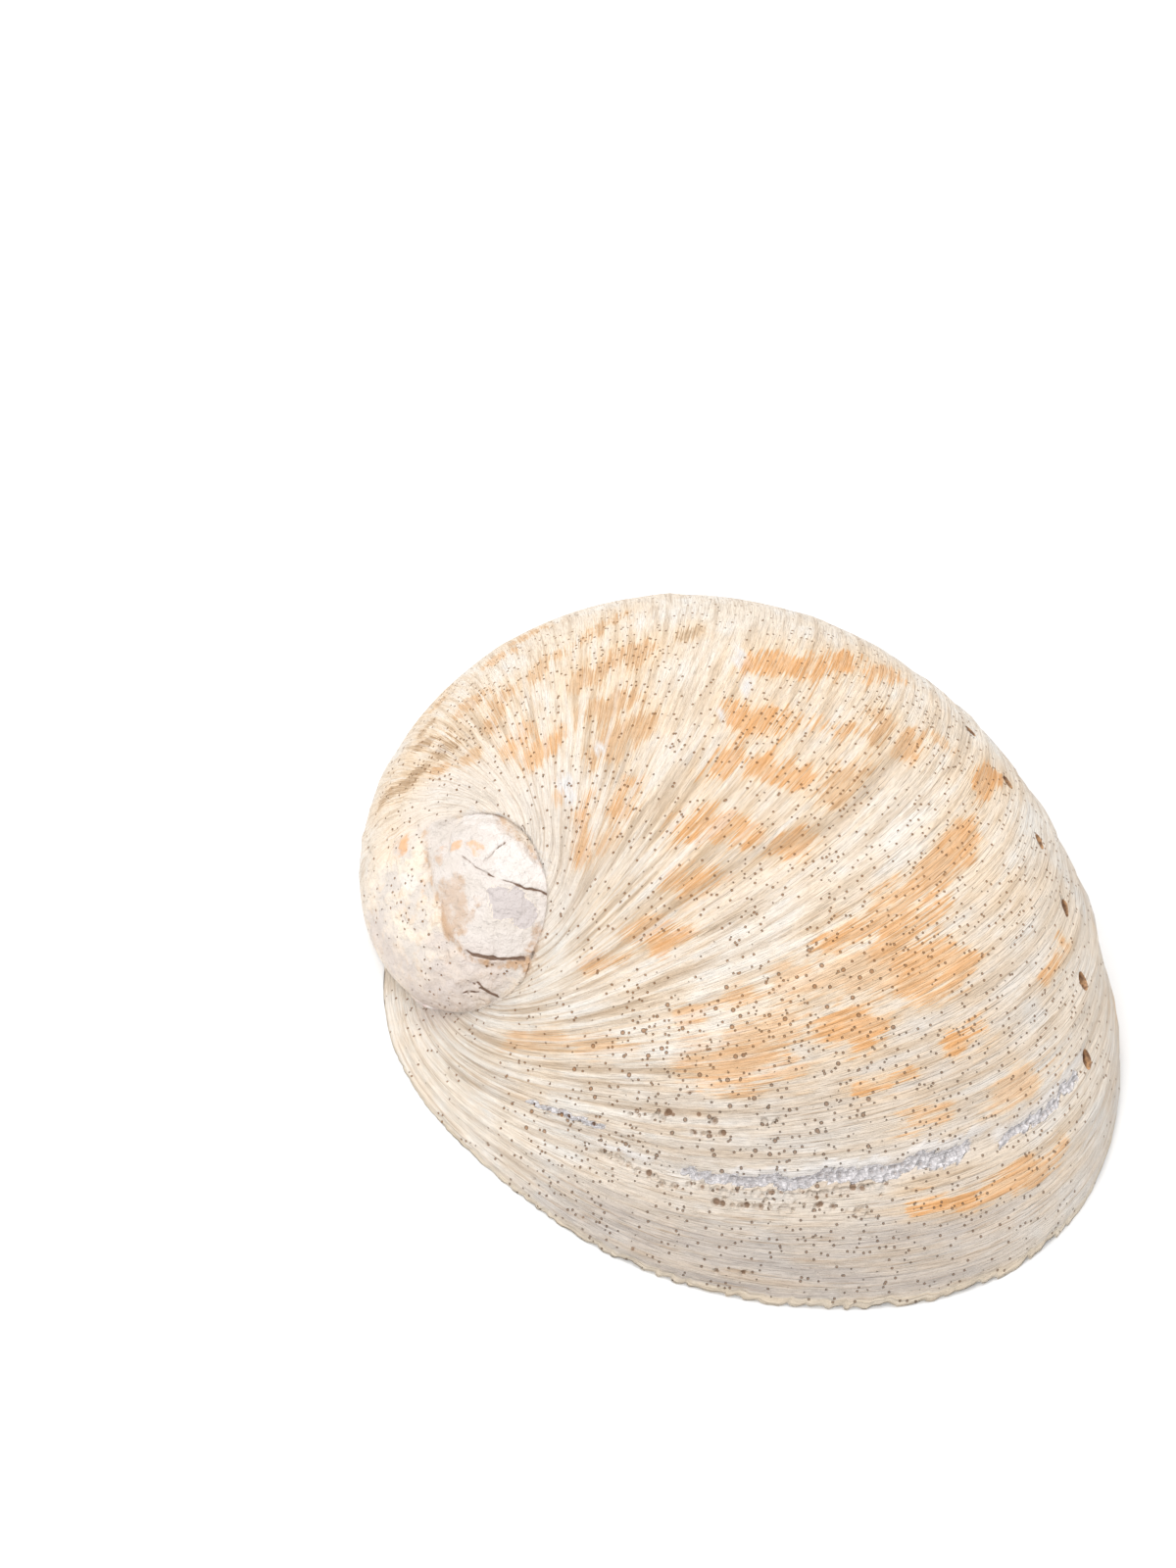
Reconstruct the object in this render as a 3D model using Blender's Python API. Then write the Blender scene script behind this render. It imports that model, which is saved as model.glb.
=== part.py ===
"""One abalone shell, grown by one rule: every growth line is the lip, turned about the
coiling axis and shrunk towards the apex. Metres, +Z up, standing on z = 0, dome up.
"""
import bpy
import bmesh
import math
import numpy as np
from mathutils import Vector
from mathutils.bvhtree import BVHTree

# Size: one growth unit in metres, which makes the shell about 145 mm long.
UNIT = 0.1400
# Middle of the plan outline in growth units, moved to the origin.
MID_X = -0.03654
MID_Y = 0.04363
# Lip outline at the last growth line: half length and half width in growth units.
LIP_A = 0.500
LIP_B = 0.360
LIP_COS = (0.018, -0.023, -0.012, -0.020, 0.004, -0.005)
LIP_SIN = (-0.003, 0.012, 0.024, -0.010, 0.004, -0.007)
# Apex of the spire and coiling axis.
APEX = np.array((-0.326, -0.170, 0.249))
AXIS = np.array((-0.444, -0.994, 1.0))
GROWTH = 0.262
FLATTEN = 0.772
LEAN_Y = 0.119
# Angles round the lip, in degrees: the suture end, the line the next whorl sits on,
# the row of holes and the free edge of the inner shelf.
PSI_SUTURE = -155.0
PSI_SEAT = -16.7
PSI_HOLES = -5.8
PSI_SHELF = 110.0
# Turn between a growth line and the one it is seated on, in degrees.
SEAT_TURN = 249.7
# How late the shelf runs out towards the suture: higher is later.
SHELF_POWER = 2.2
# Wall.
WALL = 0.0021
RIM_WIDTH = 0.0016
CORNER_SWELL = 1.2
CORNER_REACH = 0.009
CORNER_WAY = np.array((0.855, 0.515, 0.06))
# Rounds of smoothing of the inner wall.
SOFTEN_PASSES = 8
TRIM_PASSES = 10
# Open holes along the row, one every HOLE_STEP degrees of turn. Those nearest the lip are closed.
HOLE_STEP = 8.0
FIRST_HOLE = 2
LAST_HOLE = 7
HOLE_LENGTH = 0.0037
HOLE_WIDTH = 0.0021
# Growth ridges: turn in degrees, half width in degrees, height in metres.
RIDGES = (
    (2.6, 1.2, 0.00030),
    (6.2, 1.4, 0.00035),
    (10.4, 1.6, 0.00035),
    (22.2, 1.8, 0.00045),
    (28.5, 2.2, 0.00035),
    (36.0, 2.4, 0.00040),
    (44.5, 2.6, 0.00035),
    (53.5, 2.6, 0.00055),
    (61.5, 2.4, 0.00050),
    (71.0, 3.0, 0.00030),
    (83.0, 3.4, 0.00025),
    (112.0, 3.6, 0.00030),
    (150.0, 5.0, 0.00030),
    (196.0, 6.0, 0.00035),
)
# Worn groove that follows one growth line.
GROOVE_TURN = 16.9
GROOVE_HALF = 1.3
GROOVE_DEPTH = 0.0010
# Wear of the oldest whorls: where it starts and is full, in seat turns, and how deep.
WEAR_FROM = 1.05
WEAR_FULL = 1.60
WEAR_PASSES = 26
# Mesh counts.
ROWS = 52
COLS_SEAT = 18
COLS = 34
# Point inside the hollow that the inner face is laid out from.
EYE = np.array((0.02, -0.02, 0.13))
POLE = np.array((-0.05, 0.06, 1.0))
RINGS = (0.03, 0.07, 0.12, 0.18, 0.25, 0.33, 0.42, 0.52, 0.63, 0.75, 0.88)


def smooth_step(x):
    x = np.clip(x, 0.0, 1.0)
    return x * x * (3.0 - 2.0 * x)


def lip(psi):
    radius = LIP_A * LIP_B / np.sqrt((LIP_B * np.cos(psi)) ** 2 + (LIP_A * np.sin(psi)) ** 2)
    swell = 1.0
    for n, (c, s) in enumerate(zip(LIP_COS, LIP_SIN), start=1):
        swell = swell + c * np.cos(n * psi) + s * np.sin(n * psi)
    radius = radius * swell
    return np.stack([radius * np.cos(psi), radius * np.sin(psi), 0.0 * radius], axis=-1)


def grown(psi, turn):
    """Point of the outer face: psi round the lip, turn back in time, both in radians."""
    psi, turn = np.broadcast_arrays(psi, turn)
    axis = AXIS / np.linalg.norm(AXIS)
    arm = lip(psi) - APEX
    c = np.cos(turn)[..., None]
    s = np.sin(turn)[..., None]
    along = (arm @ axis)[..., None]
    arm = arm * c + np.cross(axis, arm) * s + axis * along * (1.0 - c)
    p = APEX + np.exp(-GROWTH * turn)[..., None] * arm
    z = p[..., 2]
    # The underside of the whorl is worn flat where it would sink below the lip.
    knee = 0.006
    low = np.clip(z, 0.0, knee)
    z = np.where(z < knee, low * low * (2.0 * knee - low) / knee ** 2, z)
    x = (p[..., 0] - MID_X) * UNIT
    y = (p[..., 1] + LEAN_Y * z - MID_Y) * UNIT
    return np.stack([x, y, z * FLATTEN * UNIT], axis=-1)


def face_normal(psi, turn):
    step = 1.0e-4
    du = grown(psi + step, turn) - grown(psi - step, turn)
    dt = grown(psi, turn - step) - grown(psi, turn + step)
    n = np.cross(dt, du)
    return n / np.maximum(np.linalg.norm(n, axis=-1, keepdims=True), 1.0e-12)


def relief(psi, turn):
    """Height of the growth ridges and the worn groove over the smooth face, in metres."""
    deg = np.degrees(turn)
    h = np.zeros(np.broadcast(psi, turn).shape)
    wave = 1.0 + 0.35 * np.sin(3.0 * psi + 0.08 * deg)
    for place, half, height in RIDGES:
        d = (deg - place - 0.5 * np.sin(2.0 * psi + place)) / half
        h = h + height * wave * np.where(d > 0.0, np.exp(-d * d), np.exp(-4.0 * d * d))
    ends = smooth_step((np.degrees(psi) + 118.0) / 25.0) * smooth_step((8.0 - np.degrees(psi)) / 14.0)
    d = (deg - GROOVE_TURN) / GROOVE_HALF
    h = h - GROOVE_DEPTH * ends * np.exp(-d * d)
    # Ridges run out at the suture, on the shelf and at the edge of the lip.
    h = h * smooth_step((np.degrees(psi) - PSI_SUTURE) / 12.0)
    h = h * smooth_step((60.0 - np.degrees(psi)) / 40.0)
    return h * smooth_step(deg / 1.5) * np.exp(-0.5 * GROWTH * turn)


def turn_rows():
    """Growth lines of one seat turn, closer together near the lip and at the groove."""
    near = [0.0, 2.0, 4.0, 6.0, 8.0, 10.0, 12.0, 14.0, 15.5, 16.9, 18.3, 19.8]
    left = ROWS - len(near) + 1
    rest = near[-1] + (SEAT_TURN - near[-1]) * (np.arange(1, left) / left) ** 1.1
    return np.radians(np.array(near + list(rest)))


def shelf_edge(turn):
    """Free edge of the inner shelf, which runs back to the seat line at the suture."""
    back = (np.degrees(turn) / SEAT_TURN) ** SHELF_POWER
    return np.radians(PSI_SHELF + (PSI_SEAT - PSI_SHELF) * back)


def worn(points, faces, ages):
    """Rub the oldest whorls smooth: each point moves towards the middle of its neighbours."""
    near = [set() for _p in points]
    for face in faces:
        for a, b in zip(face, face[1:] + face[:1]):
            near[a].add(b)
            near[b].add(a)
    seat = math.radians(SEAT_TURN)
    share = smooth_step((np.array(ages) / seat - WEAR_FROM) / (WEAR_FULL - WEAR_FROM))
    spots = np.array(points)
    rubbed = [v for v in range(len(points)) if share[v] > 0.0]
    for _pass in range(WEAR_PASSES):
        before = spots.copy()
        for v in rubbed:
            middle = before[list(near[v])].mean(axis=0)
            spots[v] = before[v] + 0.5 * share[v] * (middle - before[v])
    return spots


def outer_face():
    """Spiral ribbon: its suture edge is the seat line of the whorl before."""
    turns = turn_rows()
    seat = math.radians(SEAT_TURN)
    seat_psi = math.radians(PSI_SEAT)
    front = np.radians(np.linspace(PSI_SUTURE, PSI_SEAT, COLS_SEAT + 1))
    points = []
    ages = []
    index = {}

    def add(i, j, psi, turn):
        p = grown(np.array(psi), np.array(turn))
        p = p + face_normal(np.array(psi), np.array(turn)) * relief(np.array(psi), np.array(turn))
        p[2] = max(p[2], 0.0)
        index[(i, j)] = len(points)
        points.append(p)
        ages.append(turn)

    rim = []
    side = []
    for j in range(ROWS):
        end = float(shelf_edge(turns[j]))
        for i in range(COLS + 1):
            share = (i - COLS_SEAT) / (COLS - COLS_SEAT)
            psi = front[i] if i <= COLS_SEAT else seat_psi + (end - seat_psi) * share
            add(i, j, psi, turns[j])
            if j == 0 and i < COLS:
                rim.append((index[(i, j)], psi, turns[j]))
        side.append((index[(COLS, j)], end, turns[j]))
    rim += side
    # The two older whorls; the oldest one has every other column.
    for j in range(ROWS, 3 * ROWS + 1):
        whorl = min(j // ROWS, 2)
        turn = whorl * seat + (turns[j - whorl * ROWS] if j < 3 * ROWS else seat)
        for i in range(0, COLS_SEAT, 1 if j <= 2 * ROWS else 2):
            add(i, j, front[i], turn)
        index[(COLS_SEAT, j)] = index[(0, j - ROWS)]
    for i in range(COLS_SEAT + 1, COLS + 1):
        index[(i, ROWS)] = index[(0, 0)]
    faces = []
    for j in range(2 * ROWS):
        last = COLS if j < ROWS else COLS_SEAT
        for i in range(last):
            corners = (index[(i, j)], index[(i + 1, j)], index[(i + 1, j + 1)], index[(i, j + 1)])
            if len(set(corners)) == 4:
                faces.append(corners)
            elif len(set(corners)) == 3:
                faces.append((corners[0], corners[1], corners[3]))
    for j in range(2 * ROWS, 3 * ROWS):
        for i in range(0, COLS_SEAT, 2):
            a, b = index[(i, j)], index[(i + 2, j)]
            c, d = index[(i, j + 1)], index[(i + 2, j + 1)]
            if j > 2 * ROWS:
                faces.append((a, b, d, c))
                continue
            m = index[(i + 1, j)]
            faces += [(a, m, c), (m, d, c), (m, b, d)]
    # Small cap over the very first whorl.
    ring = [index[(0, j)] for j in range(2 * ROWS, 3 * ROWS + 1)]
    ring += [index[(i, 3 * ROWS)] for i in range(2, COLS_SEAT, 2)]
    points.append(np.mean([points[v] for v in ring], axis=0))
    ages.append(3.0 * seat)
    for a, b in zip(ring, ring[1:] + ring[:1]):
        faces.append((b, a, len(points) - 1))
    seam = [index[(0, j)] for j in range(2 * ROWS + 1)]
    points = worn(points, faces, ages)
    return points, faces, rim, seam


def inner_face(points, faces, rim, seam):
    """Inner wall: rays from inside the hollow, stopped short of the outer wall."""
    tree = BVHTree.FromPolygons([Vector(p) for p in points], faces)
    eye = np.array([(EYE[0] - MID_X) * UNIT, (EYE[1] - MID_Y) * UNIT, EYE[2] * UNIT])
    pole = POLE / np.linalg.norm(POLE)
    corner = np.array(points[rim[0][0]])
    lips = []
    for vertex, psi, turn in rim:
        n = face_normal(np.array(psi), np.array(turn))
        inward = -n
        inward[2] = max(inward[2], 0.0)
        inward = inward / np.linalg.norm(inward)
        # Where lip, shelf and seat line meet the rim is broader and leans into the hollow.
        near = math.exp(-(float(np.linalg.norm(points[vertex] - corner)) / CORNER_REACH) ** 2)
        inward = (1.0 - near) * inward + near * CORNER_WAY
        inward = inward / np.linalg.norm(inward)
        p = points[vertex] + inward * RIM_WIDTH * (1.0 + CORNER_SWELL * near)
        p[2] = max(p[2], 0.0)
        lips.append(p)
    lips = np.array(lips)
    count = len(lips)
    away = lips - eye
    span = np.linalg.norm(away, axis=1)
    away = away / span[:, None]
    ahead = np.zeros((len(RINGS) + 1, count, 3))
    reach = np.zeros((len(RINGS) + 1, count))
    ahead[0] = away
    reach[0] = span
    for r, s in enumerate(RINGS, start=1):
        for i in range(count):
            bend = math.acos(max(-1.0, min(1.0, float(away[i] @ pole))))
            d = math.sin((1.0 - s) * bend) * away[i] + math.sin(s * bend) * pole
            ahead[r, i] = d / np.linalg.norm(d)
            hit, normal, _face, dist = tree.ray_cast(Vector(eye), Vector(ahead[r, i]))
            if hit is None:
                reach[r, i] = span[i]
                continue
            slant = max(abs(normal.dot(Vector(ahead[r, i]))), 0.5)
            reach[r, i] = dist - WALL * min(1.0, 0.7 + 0.15 * r) / slant
    limit = reach.copy()
    for _pass in range(SOFTEN_PASSES):
        side = 0.5 * (np.roll(reach, 1, axis=1) + np.roll(reach, -1, axis=1))
        soft = reach.copy()
        soft[1:-1] = 0.4 * reach[1:-1] + 0.3 * side[1:-1] + 0.15 * (reach[:-2] + reach[2:])
        soft[-1] = 0.5 * reach[-1] + 0.5 * side[-1]
        reach = np.minimum(soft, limit + 0.25 * WALL)
    # Between the rays the wall still keeps its thickness: pull in what comes too near.
    quads = []
    for r in range(len(RINGS)):
        for i in range(count):
            k = (i + 1) % count
            quads.append((r * count + i, r * count + k, (r + 1) * count + k, (r + 1) * count + i))
    fold = []
    for a, b in zip(seam, seam[1:]):
        fold += [points[a], 0.5 * (points[a] + points[b])]
    for _pass in range(30):
        spots = eye + ahead * reach[..., None]
        pull = np.zeros_like(reach)
        for r in range(len(RINGS) + 1):
            for i in range(count):
                k = (i + 1) % count
                groups = [((r, i), (r, k))]
                if r < len(RINGS):
                    groups += [((r, i), (r + 1, i)), ((r, i), (r + 1, k)), ((r, k), (r + 1, i))]
                for group in groups:
                    q = np.mean([spots[g] for g in group], axis=0) - eye
                    far = float(np.linalg.norm(q))
                    hit, _normal, _face, dist = tree.ray_cast(Vector(eye), Vector(q))
                    if hit is None:
                        continue
                    short = far + 0.55 * WALL - dist
                    if short > 0.0:
                        for g in group:
                            if g[0] > 0:
                                pull[g] = max(pull[g], short)
        inside = BVHTree.FromPolygons([Vector(p) for p in spots.reshape(-1, 3)], quads)
        for tip in fold:
            far = float(np.linalg.norm(tip - eye))
            hit, _normal, face, dist = inside.ray_cast(Vector(eye), Vector(tip - eye))
            if hit is not None and dist > far - 0.5 * WALL:
                for v in quads[face]:
                    g = (v // count, v % count)
                    if g[0] > 0:
                        pull[g] = max(pull[g], dist - far + 0.55 * WALL)
        if pull.max() < 1.0e-6:
            break
        reach = reach - pull
    # Trim what stands proud of its neighbours, which only thickens the wall.
    for _pass in range(TRIM_PASSES):
        side = 0.5 * (np.roll(reach, 1, axis=1) + np.roll(reach, -1, axis=1))
        reach[1:] = np.minimum(reach[1:], 0.5 * reach[1:] + 0.5 * side[1:])
    reach = reach[1:]
    ahead = ahead[1:]
    inner = [eye + ahead[r, i] * reach[r, i] for r in range(len(RINGS)) for i in range(count)]
    _hit, _normal, _face, dist = tree.ray_cast(Vector(eye), Vector(pole))
    crown = eye + pole * min(dist - WALL, float(np.mean(reach[-1])))
    start = len(points)
    all_points = [tuple(p) for p in points] + [tuple(p) for p in lips] + [tuple(p) for p in inner]
    all_points.append(tuple(crown))
    all_faces = list(faces)
    outer_loop = [v for v, _psi, _turn in rim]
    loops = [outer_loop] + [[start + r * count + i for i in range(count)] for r in range(len(RINGS) + 1)]
    for a, b in zip(loops, loops[1:]):
        for i in range(count):
            k = (i + 1) % count
            all_faces.append((a[k], a[i], b[i], b[k]))
    last = loops[-1]
    for i in range(count):
        all_faces.append((last[(i + 1) % count], last[i], len(all_points) - 1))
    return all_points, all_faces


def hole_cutter(name, psi, turn, length, width, segments=10):
    """Oval peg through the wall, its long side along the row of holes."""
    here = grown(np.array(psi), np.array(turn))
    ahead = grown(np.array(psi), np.array(turn - 0.01))
    n = face_normal(np.array(psi), np.array(turn))
    run = ahead - here
    run = run - n * float(run @ n)
    run = run / np.linalg.norm(run)
    side = np.cross(n, run)
    verts = []
    for depth in (-0.0070, 0.0035):
        for q in range(segments):
            a = 2.0 * math.pi * q / segments
            verts.append(here + n * depth + run * 0.5 * length * math.cos(a) + side * 0.5 * width * math.sin(a))
    faces = [tuple(range(segments - 1, -1, -1)), tuple(range(segments, 2 * segments))]
    for q in range(segments):
        k = (q + 1) % segments
        faces.append((q, k, segments + k, segments + q))
    mesh = bpy.data.meshes.new(name)
    mesh.from_pydata([tuple(v) for v in verts], [], faces)
    bm = bmesh.new()
    bm.from_mesh(mesh)
    bmesh.ops.recalc_face_normals(bm, faces=bm.faces[:])
    bm.to_mesh(mesh)
    bm.free()
    cutter = bpy.data.objects.new(name, mesh)
    bpy.context.scene.collection.objects.link(cutter)
    cutter.hide_render = True
    cutter.display_type = 'WIRE'
    return cutter


def main():
    for thing in list(bpy.data.objects):
        bpy.data.objects.remove(thing, do_unlink=True)
    points, faces, rim, seam = outer_face()
    all_points, all_faces = inner_face(points, faces, rim, seam)
    mesh = bpy.data.meshes.new("abalone_shell")
    mesh.from_pydata(all_points, [], all_faces)
    bm = bmesh.new()
    bm.from_mesh(mesh)
    bmesh.ops.remove_doubles(bm, verts=bm.verts[:], dist=1.0e-6)
    bmesh.ops.recalc_face_normals(bm, faces=bm.faces[:])
    for face in bm.faces:
        face.smooth = True
    bm.to_mesh(mesh)
    bm.free()
    shell = bpy.data.objects.new("abalone_shell", mesh)
    bpy.context.scene.collection.objects.link(shell)
    paint = bpy.data.materials.new("shell_cream")
    paint.use_nodes = True
    bsdf = paint.node_tree.nodes["Principled BSDF"]
    bsdf.inputs["Base Color"].default_value = (0.80, 0.68, 0.52, 1.0)
    bsdf.inputs["Roughness"].default_value = 0.5
    mesh.materials.append(paint)
    psi = math.radians(PSI_HOLES)
    for k in range(FIRST_HOLE, LAST_HOLE + 1):
        scale = 1.0 - 0.045 * k
        cutter = hole_cutter(
            "hole_cut_%d" % k,
            psi,
            math.radians(HOLE_STEP * k),
            HOLE_LENGTH * scale,
            HOLE_WIDTH * scale,
        )
        cut = shell.modifiers.new("hole_%d" % k, 'BOOLEAN')
        cut.operation = 'DIFFERENCE'
        cut.solver = 'EXACT'
        cut.object = cutter


main()
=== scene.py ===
"""Looks of an abalone shell that lies dome up.

Every growth line of the shell is the lip, turned about the coiling axis and shrunk
towards the apex. A place on the shell has two numbers: psi, the angle round the lip,
and turn, how far back in time it grew, both in degrees unless a name says otherwise.
"""
import math

import bmesh
import bpy
import numpy as np
from mathutils import Matrix, Vector
from mathutils.bvhtree import BVHTree
from mathutils.kdtree import KDTree


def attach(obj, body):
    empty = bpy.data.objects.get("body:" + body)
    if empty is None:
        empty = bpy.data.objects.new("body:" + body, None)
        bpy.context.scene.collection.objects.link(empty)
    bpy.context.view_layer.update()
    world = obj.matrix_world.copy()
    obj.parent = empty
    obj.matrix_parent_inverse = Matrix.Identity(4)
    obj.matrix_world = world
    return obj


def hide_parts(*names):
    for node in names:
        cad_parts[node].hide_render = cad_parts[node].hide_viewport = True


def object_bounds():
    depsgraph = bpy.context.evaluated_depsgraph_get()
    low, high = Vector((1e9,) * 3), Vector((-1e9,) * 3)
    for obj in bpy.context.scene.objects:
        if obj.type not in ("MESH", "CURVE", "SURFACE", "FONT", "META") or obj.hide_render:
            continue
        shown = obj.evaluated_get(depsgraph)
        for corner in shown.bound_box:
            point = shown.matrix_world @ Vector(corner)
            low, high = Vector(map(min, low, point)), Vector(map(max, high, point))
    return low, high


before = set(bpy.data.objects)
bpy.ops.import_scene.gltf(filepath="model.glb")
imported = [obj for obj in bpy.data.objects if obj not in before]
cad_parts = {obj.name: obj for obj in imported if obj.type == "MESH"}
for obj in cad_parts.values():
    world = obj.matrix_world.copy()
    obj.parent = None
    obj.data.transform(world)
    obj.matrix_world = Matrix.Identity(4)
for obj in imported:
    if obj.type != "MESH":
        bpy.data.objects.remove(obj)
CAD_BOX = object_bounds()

bl_info = {
    "name": "Abalone shell",
    "version": (1, 0, 0),
    "blender": (4, 5, 0),
    "location": "3D View > Sidebar > Shell",
    "description": "Grows an abalone shell and sets a plain studio round it",
    "category": "Object",
}

# Growth law, the same as the solid's. Lengths in growth units of UNIT metres.
UNIT = 0.1400
MID_X = -0.03654
MID_Y = 0.04363
# The lip: half length, half width, and the waves that bend its outline.
LIP_A = 0.500
LIP_B = 0.360
LIP_COS = (0.018, -0.023, -0.012, -0.020, 0.004, -0.005)
LIP_SIN = (-0.003, 0.012, 0.024, -0.010, 0.004, -0.007)
# The coil: apex, axis, growth per radian, and how the grown form is flattened and leant.
APEX = np.array((-0.326, -0.170, 0.249))
AXIS = np.array((-0.444, -0.994, 1.0))
GROWTH = 0.262
FLATTEN = 0.772
LEAN_Y = 0.119
KNEE = 0.006
# Places round the lip: the suture, the seat of the last whorl, the holes, the shelf's edge.
PSI_SUTURE = -155.0
PSI_SEAT = -16.7
PSI_HOLES = -5.8
PSI_SHELF = 110.0
SHELF_POWER = 2.2
SEAT_TURN = 249.7
# Holes: degrees from one to the next, the open ones, their size in metres and shrinking.
HOLE_STEP = 8.0
FIRST_HOLE = 2
LAST_HOLE = 7
HOLE_LENGTH = 0.0037
HOLE_WIDTH = 0.0021
HOLE_SHRINK = 0.045
PEG_LENGTH = 0.011
PEG_SUNK = 0.002
PEG_SIDES = 20
# Growth ridges: turn, half width in degrees, height in metres.
RIDGES = (
    (2.6, 1.2, 0.00030),
    (6.2, 1.4, 0.00035),
    (10.4, 1.6, 0.00035),
    (22.2, 1.8, 0.00045),
    (28.5, 2.2, 0.00035),
    (36.0, 2.4, 0.00040),
    (44.5, 2.6, 0.00035),
    (53.5, 2.6, 0.00055),
    (61.5, 2.4, 0.00050),
    (71.0, 3.0, 0.00030),
    (83.0, 3.4, 0.00025),
    (112.0, 3.6, 0.00030),
    (150.0, 5.0, 0.00030),
    (196.0, 6.0, 0.00035),
)
# The worn groove: turn, half width in degrees, depth in metres, and the share of it that
# is cut here, where the bare nacre and the pits deepen it too.
GROOVE_TURN = 16.9
GROOVE_HALF = 1.3
GROOVE_DEPTH = 0.0010
GROOVE_SHARE = 0.8

# Relief over the smooth face: heights and depths in metres.
BARE_DEPTH = 0.00036
CREST_HEIGHT = 0.00018
LEDGE_HEIGHT = 0.00016
LINE_HEIGHT = 0.00010
GRAIN_HEIGHT = 0.00008
FOLD_HEIGHT = 0.00034
SWELL_HEIGHT = 0.00014
KNOB_HEIGHT = 0.00080
SMALL_KNOB_HEIGHT = 0.00050
CRUST_HEIGHT = 0.00035
PIT_DEPTH = 0.00055
# The same on the worn spire.
DOME_HEIGHT = 0.00012
DOME_FOOT_DEPTH = 0.00014
DOME_RIPPLE = 0.00009
SNOW_HEIGHT = 0.00010
BARED_DEPTH = 0.00016
CRACK_DEPTH = 0.00026
OLD_KNOB_HEIGHT = 0.00045
OLD_SMALL_KNOB_HEIGHT = 0.00028
# Sizes of the knobs, in metres.
KNOB_SIZE = 0.0024
SMALL_KNOB_SIZE = 0.0011

# Fine mesh: growth lines of one seat turn as (from, to, count), and columns. Two turns
# closer than SAME_LINE belong to one line.
LINES = ((0.0, 30.0, 68), (30.0, 75.0, 44), (75.0, 155.0, 42), (155.0, SEAT_TURN, 30))
SAME_LINE = 1.0e-4
COLS_SEAT = 64
COLS_HOLES = 24
COLS_SIDE = 22
PSI_PAST_HOLES = 4.0
# Where the lip side of the mesh is cut finer: turn up to, psi from and to, cuts.
FINE_TURN = 31.0
FINE_PSI = (-142.0, 3.0)
FINE_CUTS = 3
# Where the pits are cut finer still: turn up to, and cuts.
PIT_TURN = 60.0
PIT_CUTS = 2
# The growth map: degrees of psi or turn for one unit.
MAP_DEGREES = 100.0
# The spire: rings of its cap, where wear starts and is full in seat turns, rounds of
# smoothing, where it is cut finer, and how near a crack it is cut again.
CAP_RINGS = 10
WEAR_FROM = 1.05
WEAR_FULL = 1.45
SMOOTH_FROM = 1.20
SPIRE_PASSES = 12
LAST_PASSES = 3
SPIRE_CUT_TURN = 290.0
CRACK_NEAR = 0.0009
CRACK_CUTS = 2
# The valley behind the spire: rounds of smoothing that fill it, and how much of that counts.
FILL_PASSES = 160
FILL_GAIN = 1.45
# The hollow: the point it is seen from, the way up into the dome, the rings of the wall,
# how they crowd towards the rim, and rounds of smoothing.
EYE = np.array((0.02, -0.02, 0.13))
POLE = np.array((-0.05, 0.06, 1.0))
HOLLOW_RINGS = 26
RING_CROWD = 1.25
HOLLOW_PASSES = 10
# The rim strip: width, its rings, and how it swells and turns at the lip's corner.
RIM_WIDTH = 0.0016
RIM_RINGS = (0.33, 0.67, 1.0)
CORNER_SWELL = 1.2
CORNER_REACH = 0.009
CORNER_WAY = np.array((0.855, 0.515, 0.06))

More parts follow.
